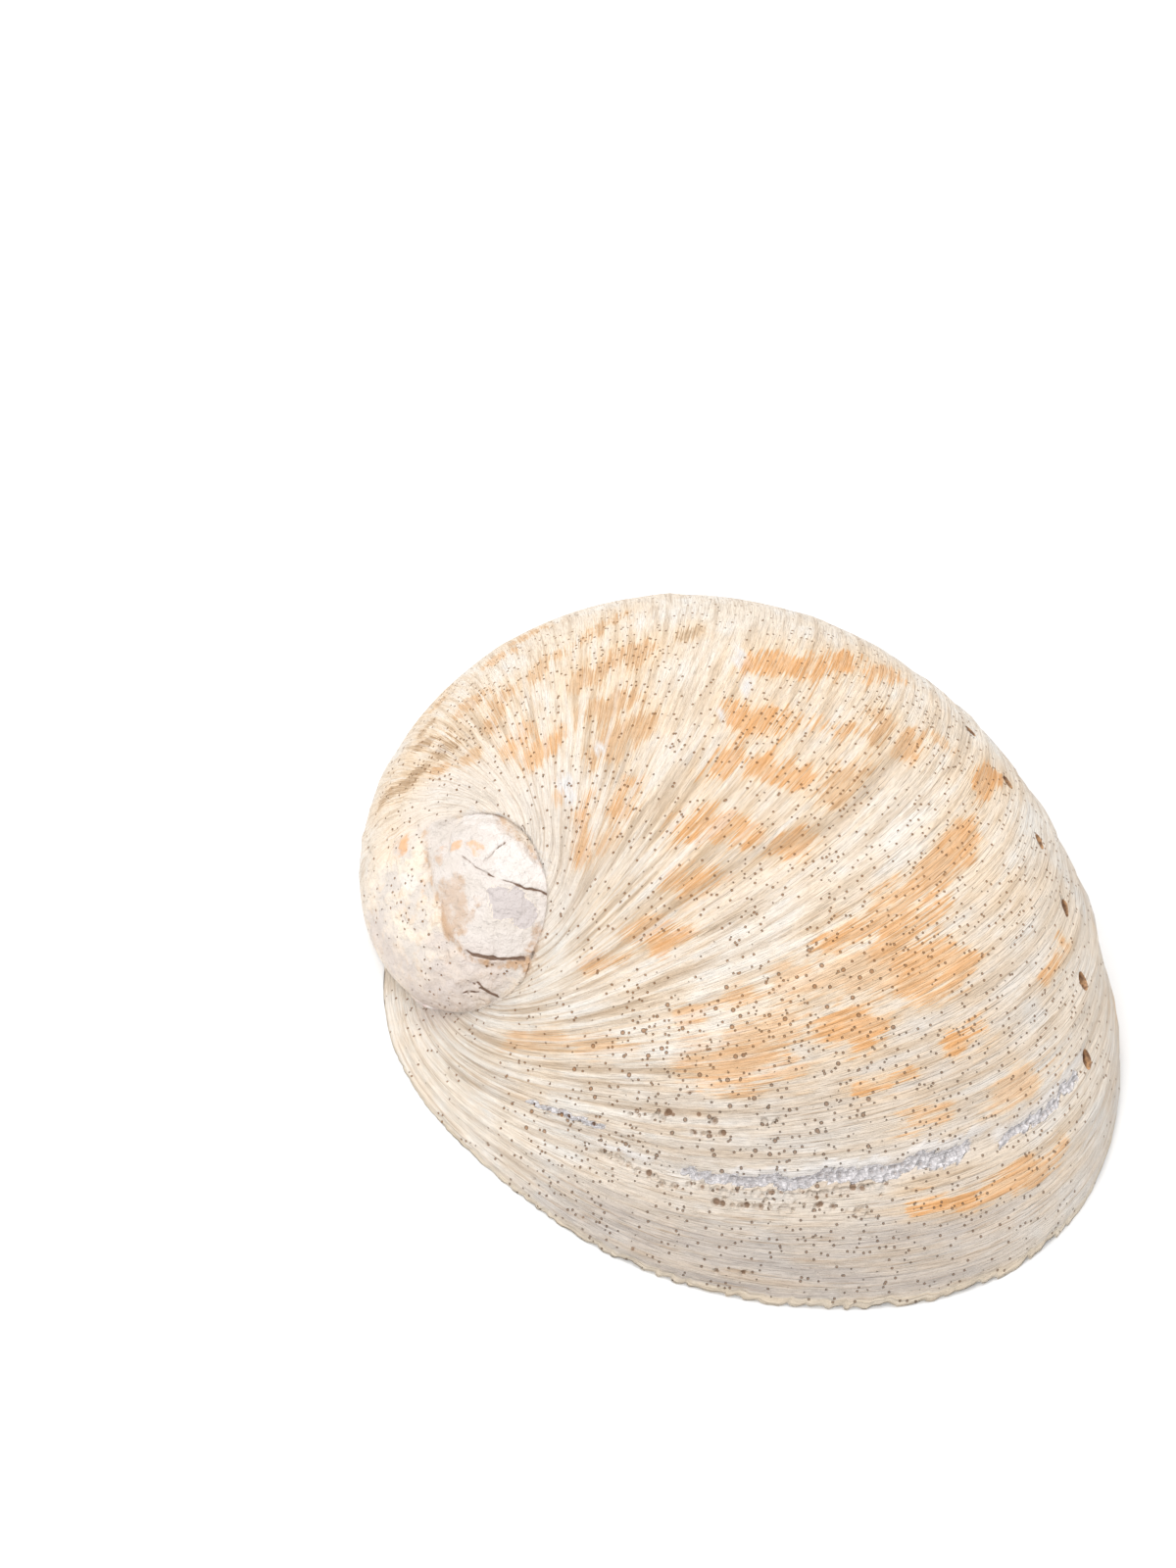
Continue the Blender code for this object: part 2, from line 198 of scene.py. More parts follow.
# Colour marks: psi and turn of both ends, radius in mm, strength, paint
# (0 apricot, 1 tan, 2 brown).
MARKS = (
    (-90, 210, -76, 214, 1.3, 0.6, 2),
    (-90, 206, -96, 202, 1.1, 0.9, 2),
    (-106, 202, -112, 198, 0.9, 0.6, 1),
    (-78, 193, -82, 188, 1.1, 1.0, 2),
    (-68, 186, -68, 181, 0.9, 0.5, 2),
    (-97, 190, -98, 185, 1.3, 0.9, 2),
    (-88, 184, -88, 180, 0.9, 0.5, 2),
    (-113, 188, -110, 180, 1.1, 0.5, 1),
    (-80, 174, -73, 169, 0.9, 0.5, 1),
    (-79, 168, -74, 162, 1.1, 0.5, 1),
    (-54, 176, -52, 172, 0.9, 0.4, 1),
    (-96, 166, -88, 159, 1.4, 0.8, 1),
    (-84, 160, -80, 153, 1.4, 0.7, 1),
    (-110, 162, -102, 153, 1.6, 0.5, 0),
    (-74, 145, -68, 142, 1.4, 0.5, 1),
    (-64, 140, -58, 134, 1.4, 0.5, 1),
    (-40, 146, -34, 140, 1.4, 0.5, 1),
    (-50, 156, -50, 148, 1.4, 0.3, 0),
    (-56, 132, -50, 128, 1.4, 0.7, 1),
    (-48, 128, -39, 122, 1.4, 0.7, 1),
    (-117, 152, -110, 147, 1.4, 0.5, 0),
    (-110, 144, -100, 137, 1.6, 0.6, 0),
    (-126, 139, -120, 137, 1.1, 0.5, 0),
    (-96, 132, -90, 130, 1.4, 0.5, 1),
    (-78, 132, -71, 128, 1.4, 0.5, 1),
    (-72, 128, -58, 117, 2.0, 0.9, 1),
    (-87, 126, -76, 115, 1.8, 0.8, 1),
    (-98, 118, -86, 111, 2.3, 0.8, 1),
    (-107, 123, -102, 124, 1.3, 0.6, 1),
    (-122, 122, -114, 120, 1.6, 0.6, 0),
    (-110, 108, -104, 108, 1.8, 0.6, 0),
    (-131, 116, -126, 117, 1.3, 0.5, 0),
    (-121, 107, -117, 106, 1.1, 0.3, 0),
    (-113, 254, -122, 258, 1.6, 0.7, 0),
    (-46, 108, -41, 106, 1.1, 0.5, 2),
    (-46, 93, -38, 88, 2.2, 0.8, 0),
    (-36, 84, -30, 81, 2.5, 0.7, 0),
    (-28, 80, -25, 79, 2.3, 0.8, 0),
    (-24, 76, -15, 70, 1.8, 0.5, 0),
    (-61, 91, -54, 84, 2.0, 0.8, 0),
    (-51, 82, -46, 78, 1.8, 0.5, 0),
    (-43, 75, -38, 72, 1.6, 0.5, 0),
    (-36, 70, -32, 70, 1.8, 0.8, 1),
    (-31, 64, -25, 64, 1.6, 0.5, 0),
    (-22, 62, -20, 60, 1.3, 0.3, 0),
    (-74, 88, -66, 82, 2.2, 0.7, 0),
    (-66, 80, -58, 74, 1.6, 0.7, 0),
    (-52, 68, -46, 68, 2.2, 0.7, 1),
    (-92, 84, -86, 82, 2.2, 0.8, 0),
    (-84, 80, -76, 72, 2.3, 0.8, 0),
    (-72, 69, -66, 66, 2.3, 0.7, 0),
    (-104, 79, -98, 78, 1.3, 0.5, 0),
    (-97, 73, -90, 72, 1.8, 0.9, 0),
    (-115, 72, -104, 69, 1.6, 0.6, 0),
    (-106, 64, -98, 64, 1.4, 0.7, 0),
    (-126, 71, -114, 66, 1.3, 0.5, 0),
    (-98, 70, -92, 68, 1.1, 0.3, 0),
    (-17, 52, -10, 51, 1.6, 0.7, 0),
    (-32, 50, -25, 50, 2.0, 0.6, 0),
    (-38, 50, -34, 50, 1.8, 0.4, 0),
    (-50, 50, -43, 50, 1.8, 0.5, 0),
    (-58, 49, -50, 48, 1.8, 0.5, 0),
    (-66, 50, -59, 49, 1.4, 0.6, 0),
    (-50, 46, -38, 45, 2.5, 0.5, 0),
    (-51, 43, -38, 39, 2.9, 0.55, 0),
    (-46, 38, -37, 38, 2.5, 0.5, 0),
    (-18, 30, -11, 30, 1.3, 0.5, 0),
    (-62, 38, -53, 35, 2.3, 0.6, 0),
    (-56, 34, -53, 35, 1.3, 0.8, 0),
    (-38, 29, -33, 30, 1.6, 0.7, 0),
    (-54, 28, -46, 28, 1.4, 0.8, 0),
    (-92, 38, -71, 35, 2.5, 0.45, 0),
    (-86, 34, -70, 34, 2.2, 0.4, 0),
    (-82, 40, -70, 39, 1.8, 0.3, 0),
    (-95, 46, -82, 47, 1.4, 0.4, 0),
    (-135, 44, -106, 41, 1.4, 0.3, 0),
    (-44, 22, -39, 22, 1.8, 0.4, 0),
    (-40, 12, -31, 11, 1.3, 0.9, 0),
    (-27, 11, -20, 11, 1.4, 0.5, 0),
    (-19, 10, -13, 11, 1.4, 0.4, 0),
    (-29, 21, -16, 20, 2.2, 0.25, 0),
    (-74, 47, -52, 42, 2.5, 0.25, 0),
)

# Warm clouds of ground: psi, turn, reach in mm, amount.
CLOUDS = (
    (-26.0, 43.5, 9.0, 0.60),
    (-22.0, 52.0, 8.0, 0.60),
    (-18.0, 66.0, 8.0, 0.45),
    (-43.0, 174.0, 8.0, 0.70),
    (-10.0, 34.0, 7.0, 0.35),
    (-92.0, 178.0, 9.0, 0.70),
    (-104.0, 150.0, 8.0, 0.60),
    (-118.0, 130.0, 8.0, 0.35),
    (-120.0, 84.0, 7.0, 0.45),
    (-112.0, 62.0, 8.0, 0.50),
    (-108.0, 48.0, 8.0, 0.35),
    (-125.0, 38.0, 7.0, 0.35),
    (-58.0, 60.0, 12.0, 0.30),
    (-30.0, 42.0, 10.0, 0.30),
    (-54.0, 170.0, 9.0, 0.50),
    (-75.0, 166.0, 8.0, 0.45),
    (-60.0, 138.0, 8.0, 0.35),
    (-76.0, 205.0, 6.0, 0.60),
)

# Rows of bored pits: psi and turn of both ends, count, radius and scatter in mm.
PIT_ROWS = (
    (-80.0, 15.3, -44.0, 15.3, 34, 0.46, 0.30),
    (-74.0, 14.4, -46.0, 14.2, 16, 0.34, 0.50),
    (-72.5, 13.0, -59.0, 13.2, 11, 0.50, 0.22),
    (-59.0, 13.8, -45.0, 12.2, 12, 0.42, 0.40),
    (-98.0, 17.0, -79.0, 14.2, 18, 0.46, 0.35),
    (-91.5, 25.4, -89.0, 26.2, 9, 0.52, 1.10),
    (-83.5, 25.6, -81.0, 26.4, 9, 0.52, 1.10),
    (-84.0, 24.0, -77.0, 24.0, 8, 0.42, 0.25),
    (-97.5, 25.5, -89.5, 26.5, 7, 0.40, 0.60),
    (-71.5, 26.0, -69.5, 26.0, 4, 0.50, 0.50),
    (-118.0, 21.6, -103.0, 22.2, 10, 0.36, 0.40),
    (-104.0, 42.0, -72.0, 38.0, 26, 0.34, 3.50),
    (-97.0, 31.0, -68.0, 29.0, 26, 0.30, 2.40),
    (-90.0, 48.0, -62.0, 40.0, 16, 0.28, 3.00),
    (-80.0, 3.0, -60.0, 3.4, 9, 0.34, 0.70),
    (-118.0, 5.0, -90.0, 4.0, 10, 0.30, 1.20),
)

# The smooth dome of the spire: x, y, z of both ends and the radius at each, in mm.
DOME = (-42.5, -16.5, 24.0, -30.0, -24.0, 22.0, 7.6, 10.2)
# Strokes on the spire: x, y, z of both ends and the radius in mm, then the amount.
CRACKS = (
    (-31.9, -12.6, 30.7, -33.4, -17.9, 30.0, 0.23, 1.0),
    (-33.4, -17.9, 30.0, -34.5, -22.1, 28.9, 0.16, 0.7),
    (-39.1, -22.8, 27.9, -33.9, -23.8, 28.0, 0.14, 0.7),
    (-33.9, -23.8, 28.0, -28.1, -22.8, 27.7, 0.17, 0.9),
    (-28.1, -22.8, 27.7, -23.0, -20.6, 26.4, 0.19, 1.0),
    (-30.8, -33.6, 19.1, -26.6, -32.5, 19.3, 0.26, 1.0),
    (-26.6, -32.5, 19.3, -21.8, -29.7, 19.4, 0.28, 1.0),
    (-27.5, -35.2, 15.1, -24.1, -34.5, 13.0, 0.20, 0.8),
    (-31.5, -36.8, 12.9, -25.8, -35.6, 11.5, 0.17, 0.7),
    (-29.5, -36.6, 12.2, -27.1, -35.6, 13.2, 0.16, 0.9),
    (-29.0, -35.6, 15.0, -26.4, -35.1, 14.2, 0.18, 0.9),
    (-26.4, -35.1, 14.2, -23.9, -34.5, 12.6, 0.20, 1.0),
    (-34.0, -34.6, 17.8, -33.4, -35.6, 16.2, 0.20, 0.9),
)
SMEARS = {
    "stain": (
        (-38.9, -27.5, 24.6, -34.7, -32.3, 20.7, 1.7, 0.8),
        (-37.0, -26.2, 26.0, -33.6, -31.4, 21.6, 1.3, 0.9),
        (-32.3, -29.7, 23.5, -32.2, -26.9, 25.9, 0.8, 0.4),
        (-20.4, -30.0, 17.8, -21.0, -25.5, 22.5, 1.3, 0.6),
        (-26.6, -32.8, 18.6, -21.8, -30.2, 18.6, 0.8, 0.7),
        (-45.2, -22.7, 24.7, -42.6, -24.7, 25.8, 0.7, 0.5),
    ),
    "glow": (
        (-41.7, -22.0, 27.5, -40.6, -21.4, 28.2, 0.9, 0.6),
        (-38.5, -20.7, 29.1, -36.8, -21.2, 29.2, 0.9, 0.6),
        (-44.8, -21.6, 25.4, -44.0, -21.0, 26.2, 0.7, 0.4),
        (-52.9, -21.9, 21.4, -51.6, -22.8, 21.4, 1.1, 0.9),
        (-46.9, -24.9, 23.4, -43.2, -29.0, 20.6, 0.8, 0.4),
    ),
    "lilac": (
        (-30.1, -25.6, 26.7, -27.8, -27.1, 25.2, 1.5, 0.9),
        (-26.6, -25.0, 26.2, -24.8, -25.2, 25.0, 2.1, 0.9),
    ),
    "shade": (
        (-28.2, -34.6, 16.0, -36.0, -37.0, 7.0, 5.0, 0.8),
        (-36.3, -33.4, 17.4, -27.0, -34.6, 16.6, 2.0, 0.7),
        (-50.0, -31.5, 9.0, -40.0, -36.4, 8.0, 4.0, 0.6),
    ),
    "snow": (
        (-33.0, -18.6, 30.0, -26.6, -18.6, 28.6, 2.6, 0.9),
        (-31.0, -21.4, 29.2, -27.0, -21.2, 28.4, 1.8, 0.9),
        (-42.0, -15.0, 28.6, -36.6, -16.0, 30.4, 2.0, 0.5),
        (-30.8, -33.6, 19.1, -28.4, -34.2, 17.6, 0.8, 0.7),
        (-46.5, -27.6, 20.4, -48.6, -26.8, 19.8, 1.0, 0.9),
    ),
}
# Flakes of white crust: psi, turn and radius in mm.
CRUSTS = (
    (-46.0, 95.5, 1.0),
    (-43.5, 96.5, 0.7),
    (-52.0, 92.0, 1.1),
    (-50.0, 91.6, 0.8),
    (-63.5, 93.5, 0.7),
    (-120.0, 136.0, 1.2),
    (-118.0, 134.0, 0.9),
    (-122.5, 132.0, 1.0),
    (-100.0, 122.0, 0.8),
)

# Marks are drawn this much wider than listed, and no fainter than this.
MARK_SPREAD = 1.30
MARK_LEAST = 0.33

# Camera, read back from the photograph's outline, holes and suture.
CAMERA_PLACE = (0.0805, -0.1658, 0.2466)
CAMERA_TILT = 42.657
CAMERA_SWING = 33.332
CAMERA_LENS = 39.2
CAMERA_SENSOR = 36.0
CAMERA_NEAR = 0.01
# Lights: name of the setting with its power, size and place in metres.
LIGHTS = (
    ("key", 0.45, (-0.18, 0.12, 0.82)),
    ("fill", 0.50, (-0.12, -0.50, 0.70)),
)
# The floor lies a hair below the lip and has faint clouds of this paint.
FLOOR_PLACE = (0.0, 0.0, -0.0002)
FLOOR_CLOUD = (0.92, 0.92, 0.92)
# The mesh stays this far inside the solid's box.
HAIR = 1.0e-6

# Cells of the outer face per metre, and the height of its bump in metres.
FINE_HOLES = 1000.0
WIDE_HOLES = 480.0
COMB_CELLS = 1150.0
BUBBLES = 620.0
BUMP_HEIGHT = 0.00070


def smooth_step(x):
    x = np.clip(x, 0.0, 1.0)
    return x * x * (3.0 - 2.0 * x)


def lip(psi):
    radius = LIP_A * LIP_B / np.sqrt((LIP_B * np.cos(psi)) ** 2 + (LIP_A * np.sin(psi)) ** 2)
    swell = 1.0
    for n, (c, s) in enumerate(zip(LIP_COS, LIP_SIN), start=1):
        swell = swell + c * np.cos(n * psi) + s * np.sin(n * psi)
    radius = radius * swell
    return np.stack([radius * np.cos(psi), radius * np.sin(psi), 0.0 * radius], axis=-1)


def grown(psi, turn):
    """Point of the outer face in metres; psi and turn in radians."""
    psi, turn = np.broadcast_arrays(psi, turn)
    axis = AXIS / np.linalg.norm(AXIS)
    arm = lip(psi) - APEX
    c = np.cos(turn)[..., None]
    s = np.sin(turn)[..., None]
    along = (arm @ axis)[..., None]
    arm = arm * c + np.cross(axis, arm) * s + axis * along * (1.0 - c)
    p = APEX + np.exp(-GROWTH * turn)[..., None] * arm
    z = p[..., 2]
    low = np.clip(z, 0.0, KNEE)
    z = np.where(z < KNEE, low * low * (2.0 * KNEE - low) / KNEE ** 2, z)
    x = (p[..., 0] - MID_X) * UNIT
    y = (p[..., 1] + LEAN_Y * z - MID_Y) * UNIT
    return np.stack([x, y, z * FLATTEN * UNIT], axis=-1)


def face_normal(psi, turn):
    """Way out of the outer face; psi and turn in radians."""
    step = 1.0e-4
    du = grown(psi + step, turn) - grown(psi - step, turn)
    dt = grown(psi, turn - step) - grown(psi, turn + step)
    n = np.cross(dt, du)
    return n / np.maximum(np.linalg.norm(n, axis=-1, keepdims=True), 1.0e-12)


def spot_at(psi, turn):
    """Point of the outer face in metres; psi and turn in degrees."""
    return grown(np.radians(psi), np.radians(turn))


def way_out(psi, turn):
    """Way out of the outer face; psi and turn in degrees."""
    return face_normal(np.radians(psi), np.radians(turn))


def shelf_edge(turn):
    """Free edge of the inner shelf, in degrees, at a turn in degrees."""
    return PSI_SHELF + (PSI_SEAT - PSI_SHELF) * (turn / SEAT_TURN) ** SHELF_POWER


def value_noise(q, seed):
    """Smooth noise from -1 to 1 at the rows of q, which has two or three columns."""
    table = np.random.default_rng(seed).uniform(-1.0, 1.0, 4096)
    base = np.floor(q).astype(np.int64)
    part = q - base
    part = part * part * (3.0 - 2.0 * part)
    primes = np.array((73856093, 19349663, 83492791))[: q.shape[1]]
    total = np.zeros(len(q))
    for corner in range(2 ** q.shape[1]):
        bits = np.array([(corner >> k) & 1 for k in range(q.shape[1])])
        weight = np.prod(np.where(bits, part, 1.0 - part), axis=1)
        total += weight * table[((base + bits) * primes).sum(axis=1) % 4096]
    return total


def streaks(psi, turn, along, across, seed):
    """Noise drawn out along the growth lines; psi and turn in degrees."""
    return value_noise(np.stack([psi / along, turn / across], axis=1), seed)


def band(x, low, high, soft):
    """1 between low and high, fading over soft on both sides."""
    return smooth_step((x - low) / soft + 1.0) * smooth_step((high - x) / soft + 1.0)


def groove_rag(psi, turn):
    """How far the edges of the bare groove wander, in degrees of turn."""
    return 0.5 * streaks(psi, turn, 2.6, 50.0, 20) + 0.4 * streaks(psi, turn, 1.0, 50.0, 21)


def groove_show(psi, turn):
    """How far the worn groove lays the nacre bare, from 0 to 1."""
    rag = groove_rag(psi, turn)
    low = 16.1 + 0.010 * (-57.0 - psi)
    main = band(psi, -79.0, -35.0, 5.0) * band(turn + rag, low, 17.6, 0.25)
    front = band(psi, -26.0, -10.0, 2.0) * band(turn + rag, 15.5, 16.4, 0.30)
    slope = 0.05 * (psi + 108.0)
    rear = band(psi, -117.0, -101.0, 2.0) * band(turn + slope + rag, 21.8, 22.8, 0.30)
    return np.maximum(np.maximum(main, 0.9 * front), 0.8 * rear)


def crest_show(psi, turn):
    """The chipped white crest over the worn groove, from 0 to 1."""
    rag = groove_rag(psi, turn)
    broken = smooth_step(0.75 + 1.1 * streaks(psi, turn, 5.0, 3.0, 23))
    main = band(psi, -96.0, -33.0, 6.0) * band(turn + rag, 17.8, 18.7, 0.35)
    front = band(psi, -27.0, -8.0, 3.0) * band(turn + rag, 16.6, 17.8, 0.35)
    return np.maximum(main, front) * broken


def folding(psi, turn):
    """Coarse folds that run together beside the spire, from -1 in a valley to 1."""
    where = smooth_step((-42.0 - psi) / 50.0) * band(turn, 26.0, 100.0, 18.0)
    wide = np.abs(streaks(psi, turn, 60.0, 3.4, 5))
    thin = np.abs(streaks(psi, turn, 35.0, 1.7, 9))
    far = where * (1.0 - 1.6 * np.sqrt(wide) - 0.7 * np.sqrt(thin))
    close = smooth_step((-100.0 - psi) / 26.0) * band(turn, 58.0, 176.0, 24.0)
    rib = np.abs(streaks(psi, turn, 90.0, 6.5, 25))
    slim = np.abs(streaks(psi, turn, 60.0, 3.6, 29))
    return (1.0 - close) * far + close * 1.5 * (1.0 - 1.5 * np.sqrt(rib) - 0.8 * np.sqrt(slim))


def long_fold(psi, turn):
    """Degrees of turn from the long fold down the middle, and how far the fold shows."""
    bend = 6.0 * smooth_step((-50.0 - psi) / 40.0)
    away = turn - 65.0 - bend - 0.6 * streaks(psi, turn, 14.0, 400.0, 52)
    return away, band(psi, -122.0, -34.0, 14.0)


def stroke_place(spots, a, b):
    """Where each spot lies along the stroke a to b, from 0 to 1, and its distance in metres."""
    run = b - a
    t = np.clip(((spots - a) @ run) / max(float(run @ run), 1.0e-12), 0.0, 1.0)
    return t, np.linalg.norm(spots - a - t[:, None] * run, axis=1)


def stroke_ends(row):
    """Both ends of a stroke of the spire, from millimetres to metres."""
    return 0.001 * np.array(row[0:3]), 0.001 * np.array(row[3:6])


def round_distance(spots, psi, turn, radius):
    """Distance of each spot from a place in degrees, in radii that are given in mm."""
    return np.linalg.norm(spots - spot_at(psi, turn), axis=1) / (0.001 * radius)


def shaken(spots, far, size, seeds):
    """The spots moved about by smooth noise, which makes what is drawn on them ragged."""
    return spots + far * np.stack([value_noise(spots / size, seed) for seed in seeds], axis=1)


def pit_depth(spots, reach=0.0):
    """How deep each spot lies in a bored pit, from 0 to 1; reach widens the pits."""
    rng = np.random.default_rng(31)
    deep = np.zeros(len(spots))
    for psi_a, turn_a, psi_b, turn_b, count, radius, scatter in PIT_ROWS:
        share = (np.arange(count) + rng.uniform(0.1, 0.9, count)) / count
        centres = spot_at(psi_a + (psi_b - psi_a) * share, turn_a + (turn_b - turn_a) * share)
        step = rng.normal(0.0, scatter, (count, 3))
        size = radius * rng.uniform(0.6, 1.3, count)
        for centre, away, r in zip(centres, step, size):
            off = spots - centre - 0.001 * away * (1.0, 1.0, 0.3)
            near = np.abs(off).max(axis=1) < 0.0025
            if near.any():
                d = np.linalg.norm(off[near], axis=1) / (0.001 * r)
                deep[near] = np.maximum(deep[near], smooth_step((1.3 + reach - d) / 0.6))
    return deep


def relief(psi, turn, spots):
    """Height over the smooth face in metres; psi and turn in degrees."""
    rad = np.radians(psi)
    h = np.zeros(len(psi))
    wave = 1.0 + 0.35 * np.sin(3.0 * rad + 0.08 * turn)
    for place, half, height in RIDGES:
        d = (turn - place - 0.5 * np.sin(2.0 * rad + place)) / half
        h += height * wave * np.where(d > 0.0, np.exp(-d * d), np.exp(-4.0 * d * d))
    ends = smooth_step((psi + 118.0) / 25.0) * smooth_step((8.0 - psi) / 14.0)
    d = (turn - GROOVE_TURN) / GROOVE_HALF
    h -= GROOVE_SHARE * GROOVE_DEPTH * ends * np.exp(-d * d)
    h -= BARE_DEPTH * groove_show(psi, turn)
    h += CREST_HEIGHT * crest_show(psi, turn)
    # Fine growth ledges, lines and grain, which fade behind the young part.
    young = smooth_step((95.0 - turn) / 40.0)
    ledge = streaks(psi, turn, 22.0, 1.7, 3)
    h += LEDGE_HEIGHT * young * (np.abs(ledge) + ledge)
    h += LINE_HEIGHT * young * streaks(psi, turn, 12.0, 0.8, 4)
    h += GRAIN_HEIGHT * young * value_noise(spots / 0.0016, 14)
    # Folds beside the spire, the long fold with its crest and valley, and slow swells.
    h += FOLD_HEIGHT * folding(psi, turn)
    away, show = long_fold(psi, turn)
    crest = FOLD_HEIGHT * np.exp(-((away - 2.6) / 1.8) ** 2)
    h += show * (crest - FOLD_HEIGHT * np.exp(-(away / 1.1) ** 2))
    h += SWELL_HEIGHT * value_noise(spots / 0.011, 6)
    # Knobbly skin left of the spire, and flakes of crust.
    knobs = band(turn, 205.0, 300.0, 25.0) * band(psi, -150.0, -55.0, 15.0)
    h += KNOB_HEIGHT * knobs * value_noise(spots / KNOB_SIZE, 7)
    h += SMALL_KNOB_HEIGHT * knobs * value_noise(spots / SMALL_KNOB_SIZE, 8)
    crumbs = 0.6 + 0.6 * value_noise(spots / 0.0006, 15)
    for psi_c, turn_c, radius in CRUSTS:
        d = round_distance(spots, psi_c, turn_c, radius)
        h += CRUST_HEIGHT * smooth_step(1.3 - d) * crumbs
    # All of it fades into the suture, the far side, the lip and the smaller old whorls.
    h *= smooth_step((psi - PSI_SUTURE) / (4.0 + 10.0 * smooth_step((85.0 - turn) / 30.0)))
    h *= smooth_step((60.0 - psi) / 40.0)
    h = h * smooth_step(turn / 1.5) * np.exp(-0.5 * GROWTH * np.radians(turn))
    return h - PIT_DEPTH * pit_depth(spots)


def walk_loop(edges, start):
    """Vertices of a closed chain of edges, in order from start."""
    follow = {}
    for edge in edges:
        for a, b in (edge.verts, reversed(edge.verts)):
            follow.setdefault(a, []).append(b)
    ring = [start]
    before = None
    while True:
        ahead = [v for v in follow[ring[-1]] if v is not before]
        before = ring[-1]
        if ahead[0] is start and len(ring) > 2:
            return ring
        ring.append(ahead[0])


def rim_ring(bm):
    """The open border and its vertices in order, from the corner of lip and shelf edge."""
    psi_layer = bm.verts.layers.float["psi"]
    turn_layer = bm.verts.layers.float["turn"]
    border = [e for e in bm.edges if e.is_boundary]
    verts = [v for e in border for v in e.verts]
    start = min(verts, key=lambda v: v[turn_layer] - 0.001 * v[psi_layer])
    return border, walk_loop(border, start)


def next_ring(bm, ring, spots):
    """Extrude a closed ring of vertices and put the new ring on the spots."""
    edges = [bm.edges.get((a, b)) for a, b in zip(ring, ring[1:] + ring[:1])]
    made = bmesh.ops.extrude_edge_only(bm, edges=edges)
    place = {v: n for n, v in enumerate(ring)}
    out = [None] * len(ring)
    for v in made["geom"]:
        if isinstance(v, bmesh.types.BMVert):
            for edge in v.link_edges:
                n = place.get(edge.other_vert(v))
                if n is not None:
                    out[n] = v
    put(out, spots)
    return out


def put(verts, spots):
    for v, spot in zip(verts, spots):
        v.co = spot


def spots_of(verts):
    return np.array([v.co for v in verts])


def noted(bm, name, verts):
    """What the vertices hold in a layer."""
    layer = bm.verts.layers.float[name]
    return np.array([v[layer] for v in verts])


def soften(bm, verts, passes):
    for _pass in range(passes):
        bmesh.ops.smooth_vert(
            bm, verts=verts, factor=0.5, use_axis_x=True, use_axis_y=True, use_axis_z=True
        )


def cut_finer(bm, edges, cuts):
    bmesh.ops.subdivide_edges(bm, edges=edges, cuts=cuts, use_grid_fill=True)


def level_edges(bm):
    """Edges that run along a growth line, each with the psi and turn of both ends."""
    psi_layer = bm.verts.layers.float["psi"]
    turn_layer = bm.verts.layers.float["turn"]
    for edge in bm.edges:
        a, b = edge.verts
        if abs(a[turn_layer] - b[turn_layer]) < SAME_LINE:
            yield edge, sorted((a[psi_layer], b[psi_layer])), a[turn_layer]


def write_map(bm, faces):
    """Put psi and turn of every corner of the faces into the growth map."""
    psi_layer = bm.verts.layers.float["psi"]
    turn_layer = bm.verts.layers.float["turn"]
    growth = bm.loops.layers.uv["growth"]
    for face in faces:
        for loop in face.loops:
            v = loop.vert
            loop[growth].uv = (v[psi_layer] / MAP_DEGREES, v[turn_layer] / MAP_DEGREES)


def tree_of(spots):
    """Search tree over points, which finds the number of the nearest one."""
    tree = KDTree(len(spots))
    for n, spot in enumerate(spots):
        tree.insert(spot, n)
    tree.balance()
    return tree


def mesh_from(bm, name):
    mesh = bpy.data.meshes.new(name)
    bm.to_mesh(mesh)
    bm.free()
    return mesh


def seat_lines():
    """Turns of the growth lines of one seat turn."""
    return np.concatenate([np.linspace(a, b, n, endpoint=False) for a, b, n in LINES])


def fill_suture(bm, verts, psi, turn, spots):
    """Note how far the valley behind the spire is filled, in metres, in the layer fill."""
    fill_layer = bm.verts.layers.float["fill"]
    put(verts, spots)
    last = band(turn, 105.0, 236.0, 24.0) * smooth_step((-98.0 - psi) / 26.0)
    older = band(turn, SEAT_TURN + 105.0, SEAT_TURN + 236.0, 24.0)
    share = np.maximum(last, older * smooth_step((psi + 85.0) / 35.0))
    soften(bm, [v for v, amount in zip(verts, share) if amount > 0.0], FILL_PASSES)
    moved = spots_of(verts) - spots
    rise = (moved * way_out(psi, turn)).sum(axis=1)
    for v, lift, amount in zip(verts, rise, share):
        v[fill_layer] = FILL_GAIN * max(0.0, lift) * amount


